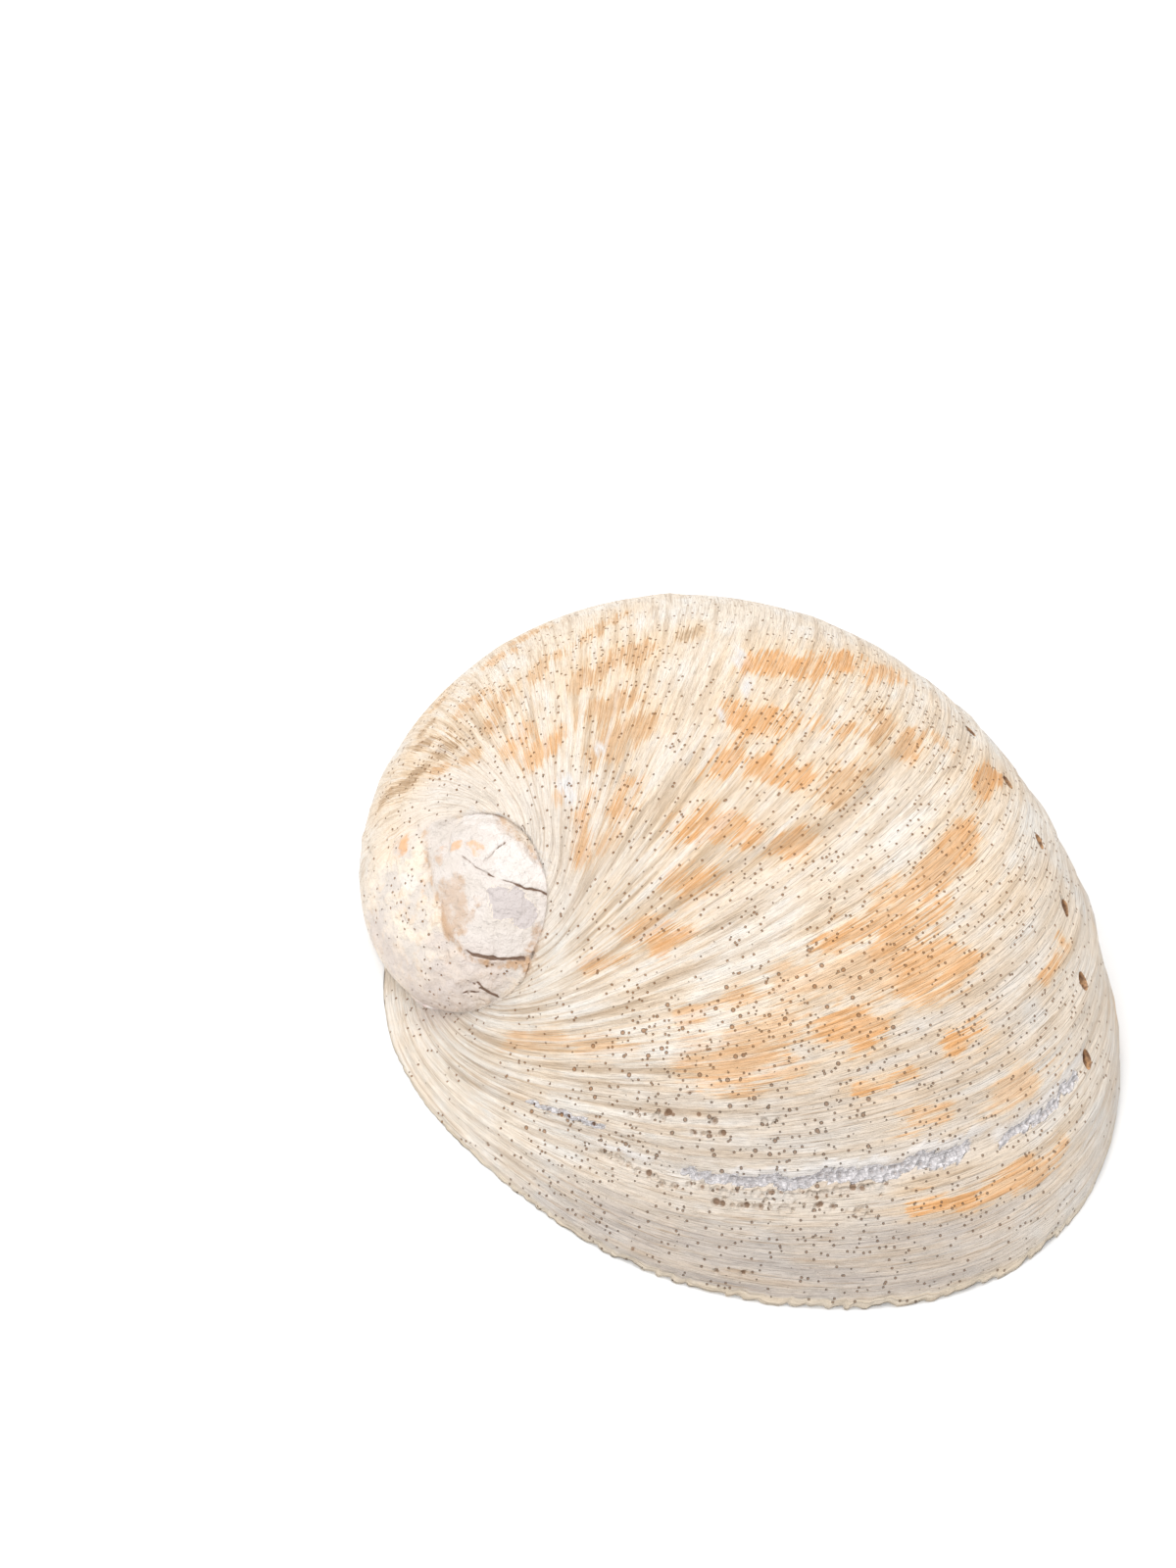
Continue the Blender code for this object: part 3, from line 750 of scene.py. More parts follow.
def growth_grid(bm):
    """A grid of growth lines over two seat turns, welded along the suture."""
    turns = seat_lines()
    rows = len(turns)
    turns = np.concatenate([turns, SEAT_TURN + turns, [2.0 * SEAT_TURN]])
    cols = COLS_SEAT + COLS_HOLES + COLS_SIDE
    reach = PSI_SHELF - PSI_SEAT
    past_holes = (PSI_PAST_HOLES - PSI_SEAT) / reach
    share = np.concatenate([
        np.linspace(0.0, past_holes, COLS_HOLES, endpoint=False),
        np.linspace(past_holes, 1.0, COLS_SIDE + 1),
    ])
    bmesh.ops.create_grid(bm, x_segments=cols, y_segments=2 * rows, size=1.0)
    bm.verts.ensure_lookup_table()
    for name in ("psi", "turn", "side", "fill"):
        bm.verts.layers.float.new(name)
    bm.loops.layers.uv.new("growth")
    psi_layer = bm.verts.layers.float["psi"]
    turn_layer = bm.verts.layers.float["turn"]
    grid = [
        [bm.verts[j * (cols + 1) + i] for i in range(cols + 1)] for j in range(2 * rows + 1)
    ]
    front = np.linspace(PSI_SUTURE, PSI_SEAT, COLS_SEAT + 1)
    for turn, line in zip(turns, grid):
        side = PSI_SEAT + (shelf_edge(min(turn, SEAT_TURN)) - PSI_SEAT) * share[1:]
        for v, psi in zip(line, np.concatenate([front, side])):
            v[psi_layer] = psi
            v[turn_layer] = turn
    write_map(bm, bm.faces)
    beyond = set(v for line in grid[rows + 1:] for v in line[COLS_SEAT + 1:])
    dead = [f for f in bm.faces if any(v in beyond for v in f.verts)]
    merge = {grid[rows][i]: grid[0][0] for i in range(COLS_SEAT, cols + 1)}
    for j in range(rows + 1, 2 * rows + 1):
        merge[grid[j][COLS_SEAT]] = grid[j - rows][0]
    bmesh.ops.delete(bm, geom=dead, context='FACES')
    bmesh.ops.weld_verts(bm, targetmap={a: b for a, b in merge.items() if a.is_valid})


def growth_ribbon(bm):
    """The outer face with its fill, relief and ragged lip."""
    growth_grid(bm)
    # Finer columns near the lip, for the groove and the pits.
    cut = [
        edge for edge, (low, high), turn in level_edges(bm)
        if turn < FINE_TURN and low > FINE_PSI[0] and high < FINE_PSI[1]
    ]
    cut_finer(bm, cut, FINE_CUTS)
    turn_layer = bm.verts.layers.float["turn"]
    write_map(bm, [
        face for face in bm.faces
        if len(face.verts) > 4 or max(v[turn_layer] for v in face.verts) < FINE_TURN + 2.0
    ])
    verts = list(bm.verts)
    psi, turn = noted(bm, "psi", verts), noted(bm, "turn", verts)
    spots = spot_at(psi, turn)
    fill_suture(bm, verts, psi, turn, spots)
    for v, deep in zip(verts, pit_depth(spots, 1.0)):
        v.tag = bool(deep > 0.0)
    cut = [e for e in bm.edges if all(v.tag for v in e.verts) and e.verts[0][turn_layer] < PIT_TURN]
    cut_finer(bm, cut, PIT_CUTS)
    verts = list(bm.verts)
    psi, turn = noted(bm, "psi", verts), noted(bm, "turn", verts)
    # The lip is ragged: it stops short of its full reach here and there.
    lip_side = smooth_step((psi + 152.0) / 10.0) * smooth_step((100.0 - psi) / 30.0)
    chip = 0.30 + 0.30 * streaks(psi, turn, 3.1, 400.0, 11)
    chip = chip + 0.35 * streaks(psi, turn, 0.9, 400.0, 12)
    back = np.maximum(chip, 0.0) * lip_side * smooth_step((2.5 - turn) / 2.5)
    spots = grown(np.radians(psi), np.radians(turn + back))
    out = way_out(psi, turn)
    spots = spots + out * noted(bm, "fill", verts)[:, None]
    spots = spots + out * relief(psi, turn, spots)[:, None]
    spots[:, 2] = np.maximum(spots[:, 2], 0.0)
    put(verts, spots)


def worn_spire(bm, solid, ring):
    """Close the spire with a cap and lay its oldest whorls on the worn solid."""
    turn_layer = bm.verts.layers.float["turn"]
    fill_layer = bm.verts.layers.float["fill"]
    start = spots_of(ring)
    middle = start.mean(axis=0)
    for n in range(1, CAP_RINGS):
        ring = next_ring(bm, ring, start + (middle - start) * (n / CAP_RINGS))
    bmesh.ops.pointmerge(bm, verts=ring, merge_co=Vector(middle))
    old = [v for v in bm.verts if v[turn_layer] > WEAR_FROM * SEAT_TURN]
    for v, way in zip(old, way_out(noted(bm, "psi", old), noted(bm, "turn", old))):
        near = solid.find_nearest(v.co)[0] + Vector(way) * v[fill_layer]
        share = (v[turn_layer] / SEAT_TURN - WEAR_FROM) / (WEAR_FULL - WEAR_FROM)
        v.co = v.co.lerp(near, float(smooth_step(share)))
    soften(bm, [v for v in old if v[turn_layer] > SMOOTH_FROM * SEAT_TURN], SPIRE_PASSES)
    cut_finer(bm, [edge for edge, _psi, turn in level_edges(bm) if turn > SPIRE_CUT_TURN], 1)
    deep = [v for v in bm.verts if v[turn_layer] > SPIRE_CUT_TURN]
    soften(bm, deep, LAST_PASSES)
    # Finer still along the cracks.
    for v in bm.verts:
        v.tag = False
    for v, near in zip(deep, crack_distance(spots_of(deep))):
        v.tag = bool(near < CRACK_NEAR)
    cut_finer(bm, [e for e in bm.edges if all(v.tag for v in e.verts)], CRACK_CUTS)
    deep = [v for v in bm.verts if v[turn_layer] > SPIRE_CUT_TURN]
    bmesh.ops.recalc_face_normals(bm, faces=bm.faces[:])
    bm.normal_update()
    sign = 1.0 if sum(v.normal.z for v in deep) > 0.0 else -1.0
    spots = spots_of(deep)
    ways = sign * np.array([v.normal for v in deep])
    put(deep, spots + ways * spire_relief(spots, noted(bm, "turn", deep))[:, None])


def spire_relief(spots, turn):
    """Height over the worn spire in metres: dome, chips, cracks and knobbly skin."""
    dome = dome_share(spots)
    h = dome * (DOME_HEIGHT + DOME_HEIGHT * value_noise(spots / 0.0028, 16))
    h -= DOME_FOOT_DEPTH * dome_share(spots, 0.0010) * (1.0 - dome_share(spots, -0.0003))
    h += DOME_RIPPLE * dome * value_noise(spots / 0.0012, 18)
    h += SNOW_HEIGHT * smear_share(spots, "snow") * value_noise(spots / 0.0010, 17)
    h -= BARED_DEPTH * smooth_step((smear_share(spots, "lilac") - 0.3) / 0.3)
    h -= CRACK_DEPTH * crack_share(spots)
    skin = (1.0 - dome) * smooth_step((turn - SPIRE_CUT_TURN) / 20.0)
    knobs = OLD_KNOB_HEIGHT * value_noise(spots / KNOB_SIZE, 7)
    return h + skin * (knobs + OLD_SMALL_KNOB_HEIGHT * value_noise(spots / SMALL_KNOB_SIZE, 8))


def dome_share(spots, wider=0.0):
    """1 on the smooth dome of the spire, 0 elsewhere."""
    t, d = stroke_place(spots, *stroke_ends(DOME))
    reach = 0.001 * (DOME[6] + (DOME[7] - DOME[6]) * t) + wider
    reach = reach + 0.0004 * value_noise(spots / 0.003, 47)
    return smooth_step((reach - d) / 0.0006 + 0.5)


def crack_distance(spots):
    """Distance of each spot from the nearest crack, in metres."""
    return np.min([stroke_place(spots, *stroke_ends(crack))[1] for crack in CRACKS], axis=0)


def crack_share(spots):
    """How deep each spot lies in a crack, from 0 to about 1."""
    moved = shaken(spots, 0.00022, 0.0011, (41, 42, 43))
    gap = 1.05 + 0.3 * value_noise(spots / 0.0019, 48)
    deep = np.zeros(len(spots))
    for crack in CRACKS:
        d = stroke_place(moved, *stroke_ends(crack))[1] / (0.001 * crack[6])
        deep = np.maximum(deep, crack[7] * gap * smooth_step((2.1 - d) / 1.4))
    return deep


def smear_share(spots, name):
    """How much of a smear lies on each spot of the spire, from 0 to 1."""
    moved = shaken(spots, 0.0007, 0.0024, (44, 45, 46))
    share = np.zeros(len(spots))
    for smear in SMEARS[name]:
        d = stroke_place(moved, *stroke_ends(smear))[1] / (0.001 * smear[6])
        share = np.maximum(share, smear[7] * smooth_step((1.5 - d) / 0.9))
    return share


def rim_strip(bm, rim):
    """Rings across the edge of the lip; gives the last ring, its spots and all rings."""
    psi, turn = noted(bm, "psi", rim), noted(bm, "turn", rim)
    edge = spots_of(rim)
    inward = -way_out(psi, turn)
    inward[:, 2] = np.maximum(inward[:, 2], 0.0)
    inward /= np.linalg.norm(inward, axis=1, keepdims=True)
    corner = int(np.argmin(turn + np.abs(psi - PSI_SUTURE)))
    near = np.linalg.norm(edge - edge[corner], axis=1) / CORNER_REACH
    near = np.exp(-near ** 2)[:, None]
    inward = (1.0 - near) * inward + near * CORNER_WAY
    inward /= np.linalg.norm(inward, axis=1, keepdims=True)
    lips = edge + inward * RIM_WIDTH * (1.0 + CORNER_SWELL * near)
    lips[:, 2] = np.maximum(lips[:, 2], 0.0)
    made = []
    ring = rim
    for share in RIM_RINGS:
        ring = next_ring(bm, ring, edge + (lips - edge) * share)
        made.append((ring, 0.3 * share))
    return ring, lips, made


def hollow(bm, solid, rim):
    """Rim strip and inner wall: rings of points seen from inside, up to the crown."""
    side_layer = bm.verts.layers.float["side"]
    ring, lips, made = rim_strip(bm, rim)
    eye = (EYE - np.array((MID_X, MID_Y, 0.0))) * UNIT
    pole = POLE / np.linalg.norm(POLE)
    away = lips - eye
    span = np.linalg.norm(away, axis=1)
    away /= span[:, None]
    bend = np.arccos(np.clip(away @ pole, -1.0, 1.0))[:, None]
    reach = [span]
    ahead = [away]
    for n in range(1, HOLLOW_RINGS):
        s = (n / HOLLOW_RINGS) ** RING_CROWD
        way = np.sin((1.0 - s) * bend) * away + np.sin(s * bend) * pole
        way /= np.linalg.norm(way, axis=1, keepdims=True)
        hits = [solid.ray_cast(Vector(eye), Vector(w)) for w in way]
        reach.append(np.array([far if hit[0] is None else hit[3] for hit, far in zip(hits, span)]))
        ahead.append(way)
    reach = np.array(reach)
    for _pass in range(HOLLOW_PASSES):
        side = 0.5 * (np.roll(reach, 1, axis=1) + np.roll(reach, -1, axis=1))
        soft = reach.copy()
        soft[1:-1] = 0.4 * reach[1:-1] + 0.35 * side[1:-1] + 0.125 * (reach[:-2] + reach[2:])
        soft[-1] = 0.5 * reach[-1] + 0.5 * side[-1]
        reach[1:] = soft[1:]
    for n in range(1, HOLLOW_RINGS):
        ring = next_ring(bm, ring, eye + ahead[n] * reach[n][:, None])
        made.append((ring, 1.0))
    crown = eye + pole * float(reach[-1].mean())
    last = next_ring(bm, ring, [crown] * len(ring))
    for verts, inner in made + [(last, 1.0)]:
        for v in verts:
            v[side_layer] = inner
    bmesh.ops.pointmerge(bm, verts=last, merge_co=Vector(crown))


def hole_pegs():
    """One mesh of oval pegs, one for each open hole of the row."""
    bm = bmesh.new()
    psi = math.radians(PSI_HOLES)
    for k in range(FIRST_HOLE, LAST_HOLE + 1):
        turn = math.radians(HOLE_STEP * k)
        scale = 1.0 - HOLE_SHRINK * k
        here = grown(np.array(psi), np.array(turn))
        n = face_normal(np.array(psi), np.array(turn))
        run = grown(np.array(psi), np.array(turn - 0.01)) - here
        run = run - n * float(run @ n)
        run = run / np.linalg.norm(run)
        side = np.cross(n, run)
        columns = (run * HOLE_LENGTH * scale, side * HOLE_WIDTH * scale, n, here - PEG_SUNK * n)
        rows = np.stack(columns, axis=1).tolist()
        bmesh.ops.create_cone(
            bm, cap_ends=True, segments=PEG_SIDES, radius1=0.5, radius2=0.5, depth=PEG_LENGTH,
            matrix=Matrix(rows + [[0.0, 0.0, 0.0, 1.0]]),
        )
    bmesh.ops.recalc_face_normals(bm, faces=bm.faces[:])
    for face in bm.faces:
        face.material_index = 2
    return mesh_from(bm, "hole_pegs")


def mark_layers(psi, turn, spots):
    """Marks: how near, how strong and which paint, and the warm wash of the ground."""
    mark, strong, tone, wash = np.zeros((4, len(spots)))
    for psi_a, turn_a, psi_b, turn_b, radius, strength, paint in MARKS:
        ends = spot_at(np.array((psi_a, psi_b)), np.array((turn_a, turn_b)))
        d = stroke_place(spots, *ends)[1] / (0.001 * radius * MARK_SPREAD)
        close = smooth_step((2.0 - d) / 2.0)
        first = close > mark
        mark = np.where(first, close, mark)
        strong = np.where(first, MARK_LEAST + (1.0 - MARK_LEAST) * strength, strong)
        tone = np.where(first, 0.5 * paint, tone)
        wash = np.maximum(wash, strength * smooth_step((5.0 - d) / 4.5))
    for psi_c, turn_c, reach, amount in CLOUDS:
        d = round_distance(spots, psi_c, turn_c, reach)
        wash = np.maximum(wash, amount * smooth_step(1.4 - d))
    # The far side is not marked by hand: loose blotches in rows that follow the growth.
    far = smooth_step((psi - 8.0) / 20.0) * band(turn, 12.0, 230.0, 20.0)
    rows = value_noise(np.stack([psi / 9.0, turn / 16.0], axis=1), 51)
    loose = far * smooth_step((rows - 0.05) / 0.5)
    first = loose > mark
    mark = np.where(first, loose, mark)
    strong = np.where(first, 0.7, strong)
    wash = np.maximum(wash, 0.5 * far * smooth_step(rows + 0.5))
    return {"mark": mark, "strong": strong, "tone": tone, "wash": wash}


def place_masks(mesh, psi, turn, side):
    """Store the marks, wear and bare nacre of each vertex as attributes."""
    spots = np.empty(len(mesh.vertices) * 3)
    mesh.vertices.foreach_get("co", spots)
    spots = spots.reshape(-1, 3)
    layers = mark_layers(psi, turn, spots)
    wash = layers["wash"]
    crust = np.zeros(len(spots))
    for psi_c, turn_c, radius in CRUSTS:
        d = round_distance(spots, psi_c, turn_c, radius)
        crust = np.maximum(crust, smooth_step((1.5 - d) / 0.7))
    # Width of one degree of growth in mm: lines lie closer, and lower, beside the spire.
    step = spot_at(psi, turn + 0.5) - spot_at(psi, turn - 0.5)
    span = np.clip(1000.0 * np.linalg.norm(step, axis=1), 0.0, 1.2)
    young = np.maximum(band(turn, -5.0, 6.0, 12.0), 0.45 * band(turn, -5.0, 26.0, 20.0))
    grey_fade = 1.0 - 0.6 * smooth_step((psi + 38.0) / 30.0)
    # Partly the duller tone of the young lip, partly painted shade on the lower front.
    dull_and_shade = young * smooth_step((psi + 125.0) / 45.0) * grey_fade
    side_wall = smooth_step((psi - 2.0) / 20.0)
    middle = band(turn, 8.0, 60.0, 20.0) * band(psi, -110.0, 0.0, 15.0)
    porous = 0.30 + 0.35 * wash + 0.25 * middle
    # Painted shade: darker paint in the valleys of the folds, and on the shaded side of the long
    # fold below.
    valley = smooth_step((-0.25 - folding(psi, turn)) / 0.9) * band(turn, 0.0, 95.0, 40.0)
    away, show = long_fold(psi, turn)
    spire = smooth_step((turn - 250.0) / 10.0)
    layers.update({
        "crust": crust,
        # Greyer near the lip and on the side wall: partly the shell's own tone, partly painted
        # shade.
        "grey": np.maximum(dull_and_shade, 0.5 * side_wall),
        # Painted light: a paler paint that lifts the shaded valley behind the spire.
        "bright": smooth_step((-94.0 - psi) / 26.0) * band(turn, 118.0, 246.0, 30.0),
        "valley": np.maximum(valley, 2.4 * show * np.exp(-((away + 0.4) / 1.2) ** 2)),
        "porous": porous * (1.0 - 0.7 * side_wall),
        "pitted": band(turn, 20.0, 46.0, 8.0) * band(psi, -108.0, -58.0, 12.0),
        "span": span,
        "fan": smooth_step((-52.0 - psi) / 55.0) * band(turn, 24.0, 186.0, 18.0),
        "pit": pit_depth(spots),
        "bare": groove_show(psi, turn) * band(turn, 12.0, 26.0, 0.5),
        "crest": crest_show(psi, turn),
        "old": smooth_step((turn - 236.0) / 24.0),
        "dome": dome_share(spots) * spire,
        "seam": dome_share(spots, 0.0005) * (1.0 - dome_share(spots, -0.0004)) * spire,
        "edge": smooth_step((1.5 - turn) / 0.8) * smooth_step((psi + 152.0) / 6.0),
        "crack": crack_share(spots),
    })
    for name in SMEARS:
        layers[name] = smear_share(spots, name)
    outside = np.where(side < 0.2, 1.0, 0.0)
    for name, values in layers.items():
        layers[name] = values * outside
    layers["inner"] = side
    for name, values in layers.items():
        layer = mesh.attributes.new(name, 'FLOAT', 'POINT')
        layer.data.foreach_set("value", values.astype(np.float32))


def keep_in_box(bm):
    """Shrink the mesh by the hair's breadth that its relief stands out of the solid's box."""
    spots = spots_of(bm.verts)
    box = np.array(CAD_BOX)
    low, high = spots.min(axis=0), spots.max(axis=0)
    new_low, new_high = np.maximum(low, box[0] + HAIR), np.minimum(high, box[1] - HAIR)
    new_low[2] = 0.0
    put(bm.verts, new_low + (spots - low) * (new_high - new_low) / (high - low))


class Paint:
    """Short way to write a node material. A colour may be given by its name in the panel."""

    # Sockets of a mix node for colours: share, first and second colour, and the outcome.
    MIX_INPUTS = (0, 6, 7)
    MIX_OUTPUT = 2

    def __init__(self, name, colours=None):
        self.colours = colours
        self.ground = None
        self.material = bpy.data.materials.new(name)
        self.material.use_nodes = True
        self.tree = self.material.node_tree
        self.tree.nodes.clear()

    def node(self, kind, values=None, links=None, **settings):
        made = self.tree.nodes.new(kind)
        for key, value in settings.items():
            setattr(made, key, value)
        for key, value in (values or {}).items():
            made.inputs[key].default_value = value
        for key, socket in (links or {}).items():
            self.tree.links.new(socket, made.inputs[key])
        return made

    def feed(self, socket, value):
        """Put a number, a colour, a colour's name or another node's outcome in a socket."""
        if isinstance(value, str):
            value = tuple(getattr(self.colours, value))
        if isinstance(value, tuple):
            socket.default_value = (*value, 1.0)
        elif isinstance(value, (int, float)):
            socket.default_value = value
        else:
            self.tree.links.new(value, socket)

    def attribute(self, name):
        return self.node("ShaderNodeAttribute", attribute_name=name).outputs["Fac"]

    def place(self):
        return self.node("ShaderNodeTexCoord").outputs["Object"]

    def step(self, value, low, high, to_low=0.0, to_high=1.0):
        """Smooth step of a value from low to high, onto another range."""
        values = {"From Min": low, "From Max": high, "To Min": to_low, "To Max": to_high}
        settings = {"interpolation_type": 'SMOOTHSTEP'}
        return self.node("ShaderNodeMapRange", values, {"Value": value}, **settings).outputs[0]

    def math(self, operation, a, b, clamp=False):
        made = self.node("ShaderNodeMath", operation=operation, use_clamp=clamp)
        self.feed(made.inputs[0], a)
        self.feed(made.inputs[1], b)
        return made.outputs[0]

    def times(self, a, b, clamp=False):
        return self.math('MULTIPLY', a, b, clamp)

    def plus(self, a, b):
        return self.math('ADD', a, b)

    def minus(self, a, b):
        return self.math('SUBTRACT', a, b)

    def most(self, a, b):
        return self.math('MAXIMUM', a, b)

    def mix(self, share, a, b):
        made = self.node("ShaderNodeMix", data_type='RGBA')
        for number, value in zip(self.MIX_INPUTS, (share, a, b)):
            self.feed(made.inputs[number], value)
        return made.outputs[self.MIX_OUTPUT]

    def lay(self, share, paint):
        """Lay a share of a paint over the ground."""
        self.ground = self.mix(share, self.ground, paint)

    def noise(self, vector, scale, detail=2.0, roughness=0.5):
        values = {"Scale": scale, "Detail": detail, "Roughness": roughness}
        return self.node("ShaderNodeTexNoise", values, {"Vector": vector}).outputs["Fac"]

    def streaks(self, along, across, detail, roughness):
        """Noise drawn out along the growth lines."""
        growth = self.node("ShaderNodeUVMap", uv_map="growth").outputs["UV"]
        values = {"Scale": (along, across, 1.0)}
        drawn = self.node("ShaderNodeMapping", values, {"Vector": growth}).outputs["Vector"]
        return self.noise(drawn, 1.0, detail, roughness)

    def cells(self, vector, scale):
        """Distance from the middle of the nearest cell, and that cell's random colour."""
        made = self.node("ShaderNodeTexVoronoi", {"Scale": scale}, {"Vector": vector})
        return made.outputs["Distance"], made.outputs["Color"]

    def channel(self, colour, number):
        made = self.node("ShaderNodeSeparateColor", links={"Color": colour})
        return made.outputs[number]

    def bump(self, height, strength, distance):
        values = {"Strength": strength, "Distance": distance}
        return self.node("ShaderNodeBump", values, {"Height": height}).outputs["Normal"]

    def shader(self, values, links):
        made = self.node("ShaderNodeBsdfPrincipled", values, links)
        out = self.node("ShaderNodeOutputMaterial")
        self.tree.links.new(made.outputs["BSDF"], out.inputs["Surface"])
        return self.material


def outside_paint(colours):
    """The outer face: ground, marks, growth lines, holes, worn spire and bare nacre."""
    p = Paint("shell_outside", colours)
    place = p.place()
    lines = p.streaks(7.0, 210.0, 3.0, 0.65)
    bands = p.streaks(4.0, 55.0, 3.0, 0.6)
    hairs = p.streaks(16.0, 620.0, 2.0, 0.55)
    cloud = p.noise(place, 110.0, 3.0, 0.6)
    grain = p.noise(place, 1500.0, 2.0, 0.6)
    dome = p.attribute("dome")
    old = p.attribute("old")
    bare = p.attribute("bare")

    # Ground: white and cream, warmer near the marks, greyer towards the lip and on the side wall
    # (partly the lip's own tone, partly painted shade), with painted light over the valley behind
    # the spire.
    p.ground = p.mix(p.step(cloud, 0.34, 0.60), "pale", "cream")
    p.lay(p.step(bands, 0.36, 0.66, 0.0, 0.6), "cream")
    warm = p.times(p.attribute("wash"), p.step(bands, 0.30, 0.62, 0.35, 1.2), clamp=True)
    p.lay(warm, "sand")
    # Greyer near the lip and on the side wall: partly the shell's own tone, partly painted shade.
    grey = p.times(p.attribute("grey"), p.step(bands, 0.62, 0.30, 0.55, 1.0))
    p.lay(grey, "grey")
    # Painted light over the valley behind the spire, which lies in shade.
    p.lay(p.times(p.attribute("bright"), 0.5), "bright")

    # Marks: frayed along the growth lines, deeper inside, with dark streaks.
    fray = p.plus(p.step(lines, 0.32, 0.68, -0.30, 0.30), p.step(cloud, 0.30, 0.70, -0.34, 0.34))
    fray = p.plus(fray, p.step(bands, 0.34, 0.66, -0.22, 0.22))
    mark = p.plus(p.attribute("mark"), fray)
    share = p.times(p.step(mark, 0.20, 0.90), p.attribute("strong"), clamp=True)
    tone = p.attribute("tone")
    p.lay(p.times(share, 1.5, clamp=True), "sand")
    paint = p.mix(p.step(tone, 0.0, 0.5), "apricot", "tan")
    paint = p.mix(p.step(tone, 0.5, 1.0), paint, "brown")
    deep = p.times(p.step(share, 0.26, 0.82), p.step(lines, 0.36, 0.64, 0.42, 1.0))
    p.lay(deep, paint)
    streak = p.times(p.step(hairs, 0.46, 0.68), p.step(lines, 0.42, 0.66))
    p.lay(p.times(p.times(streak, share), 0.75), "ember")

    # Growth lines, and painted shade in the valleys of the folds.
    plain = p.times(p.minus(1.0, dome), p.step(share, 0.1, 0.8, 1.0, 0.45))
    thin = p.times(p.step(lines, 0.54, 0.72), plain)
    thin = p.times(thin, p.step(p.attribute("grey"), 0.0, 1.0, 0.56, 0.74))
    p.lay(thin, "line")
    p.lay(p.step(hairs, 0.54, 0.74, 0.0, 0.36), "line")
    # Painted shade in the valleys of the folds.
    p.lay(p.times(p.attribute("valley"), 0.24), "line")
    p.lay(p.times(p.step(bands, 0.50, 0.66, 0.0, 0.38), plain), "line")

    # Ribs that fan out from the spire, with painted highlights on their crests and painted shade in
    # the furrows.
    ribs = p.streaks(2.6, 32.0, 3.0, 0.62)
    fan = p.times(p.attribute("fan"), p.step(p.attribute("bright"), 0.0, 1.0, 1.0, 0.45))
    # Painted highlight: pale paint on the crests of the ribs.
    p.lay(p.times(p.step(ribs, 0.50, 0.38, 0.0, 0.55), fan), "pale")
    # Painted shade: line paint in the furrows between the ribs.
    p.lay(p.times(p.step(ribs, 0.50, 0.64, 0.0, 0.62), p.times(fan, plain)), "line")

    # Small bored holes: many fine ones, and larger ones where the face is pitted.
    skin = p.minus(1.0, p.most(dome, bare))
    fine, fine_colour = p.cells(place, FINE_HOLES)
    patch = p.step(p.noise(place, 75.0), 0.30, 0.66, 0.35, 1.5)
    patch = p.times(p.attribute("porous"), patch)
    picked = p.math('LESS_THAN', p.channel(fine_colour, 0), patch)
    dot = p.times(p.step(fine, 0.25, 0.15), picked)
    wide, wide_colour = p.cells(place, WIDE_HOLES)
    picked = p.math('LESS_THAN', p.channel(wide_colour, 1), p.attribute("pitted"))
    pore = p.times(p.step(wide, 0.19, 0.13), picked)
    dot = p.times(p.most(dot, pore), skin, clamp=True)
    dark = p.most(p.times(dot, 0.80), p.step(p.attribute("pit"), 0.30, 0.95, 0.0, 0.85))
    bored = p.mix(p.step(p.attribute("grey"), 0.0, 0.5), "bore", "dot")

    # The bare edge of the lip. The old whorls: milky and chalky, with the smooth dome on top.
    p.lay(p.times(p.attribute("edge"), 0.6), "edge")
    curd = p.noise(place, 520.0, 3.0, 0.65)
    chalk = p.mix(p.step(p.noise(place, 260.0, 4.0, 0.65), 0.38, 0.66), "chalk", "cream")
    chalk = p.mix(p.step(curd, 0.52, 0.68, 0.0, 0.32), chalk, "stain")
    p.lay(old, chalk)
    milk = p.mix(p.step(p.noise(place, 180.0, 3.0), 0.40, 0.64), "milk", "chalk")
    p.lay(dome, milk)
    fine_rag = p.step(p.noise(place, 1100.0, 3.0, 0.6), 0.30, 0.70, -0.20, 0.20)
    rag = p.plus(p.step(curd, 0.30, 0.70, -0.35, 0.35), fine_rag)

    def ragged(name, low, high):
        raised = p.plus(p.attribute(name), p.times(rag, p.step(p.attribute(name), 0.0, 0.15)))
        return p.step(raised, low, high)

    for name, low, high, share, paint in (
        ("snow", 0.30, 0.62, 0.42, "snow"),
        ("lilac", 0.22, 0.34, 0.70, "cream"),
        ("lilac", 0.36, 0.46, 0.90, "lilac"),
    ):
        p.lay(p.times(ragged(name, low, high), share), paint)
    p.lay(p.times(p.attribute("shade"), 0.75), "shade")
    stain = p.times(ragged("stain", 0.05, 1.0), p.step(cloud, 0.3, 0.7, 0.4, 1.0))
    p.lay(stain, "stain")
    p.lay(p.times(ragged("glow", 0.05, 0.95), 0.65), "apricot")
    seam = p.times(p.attribute("seam"), p.step(curd, 0.44, 0.58, 0.15, 0.75))
    p.lay(seam, "stain")

    # The white crest, the bare nacre in the groove with its small cells, and crust.
    p.lay(p.times(p.attribute("crest"), 0.75), "snow")
    comb = p.minus(0.46, p.cells(place, COMB_CELLS)[0])
    nacre = p.mix(p.step(comb, 0.06, 0.26), "pearl", "cell")
    nacre = p.mix(p.step(cloud, 0.40, 0.62, 0.0, 0.6), nacre, "pearl")
    bare = p.step(p.plus(bare, p.times(p.minus(grain, 0.5), 0.5)), 0.3, 0.6)
    p.lay(bare, nacre)
    p.lay(p.attribute("crust"), "snow")
    p.lay(dark, bored)
    p.lay(p.step(p.attribute("crack"), 0.35, 0.9), "crack")

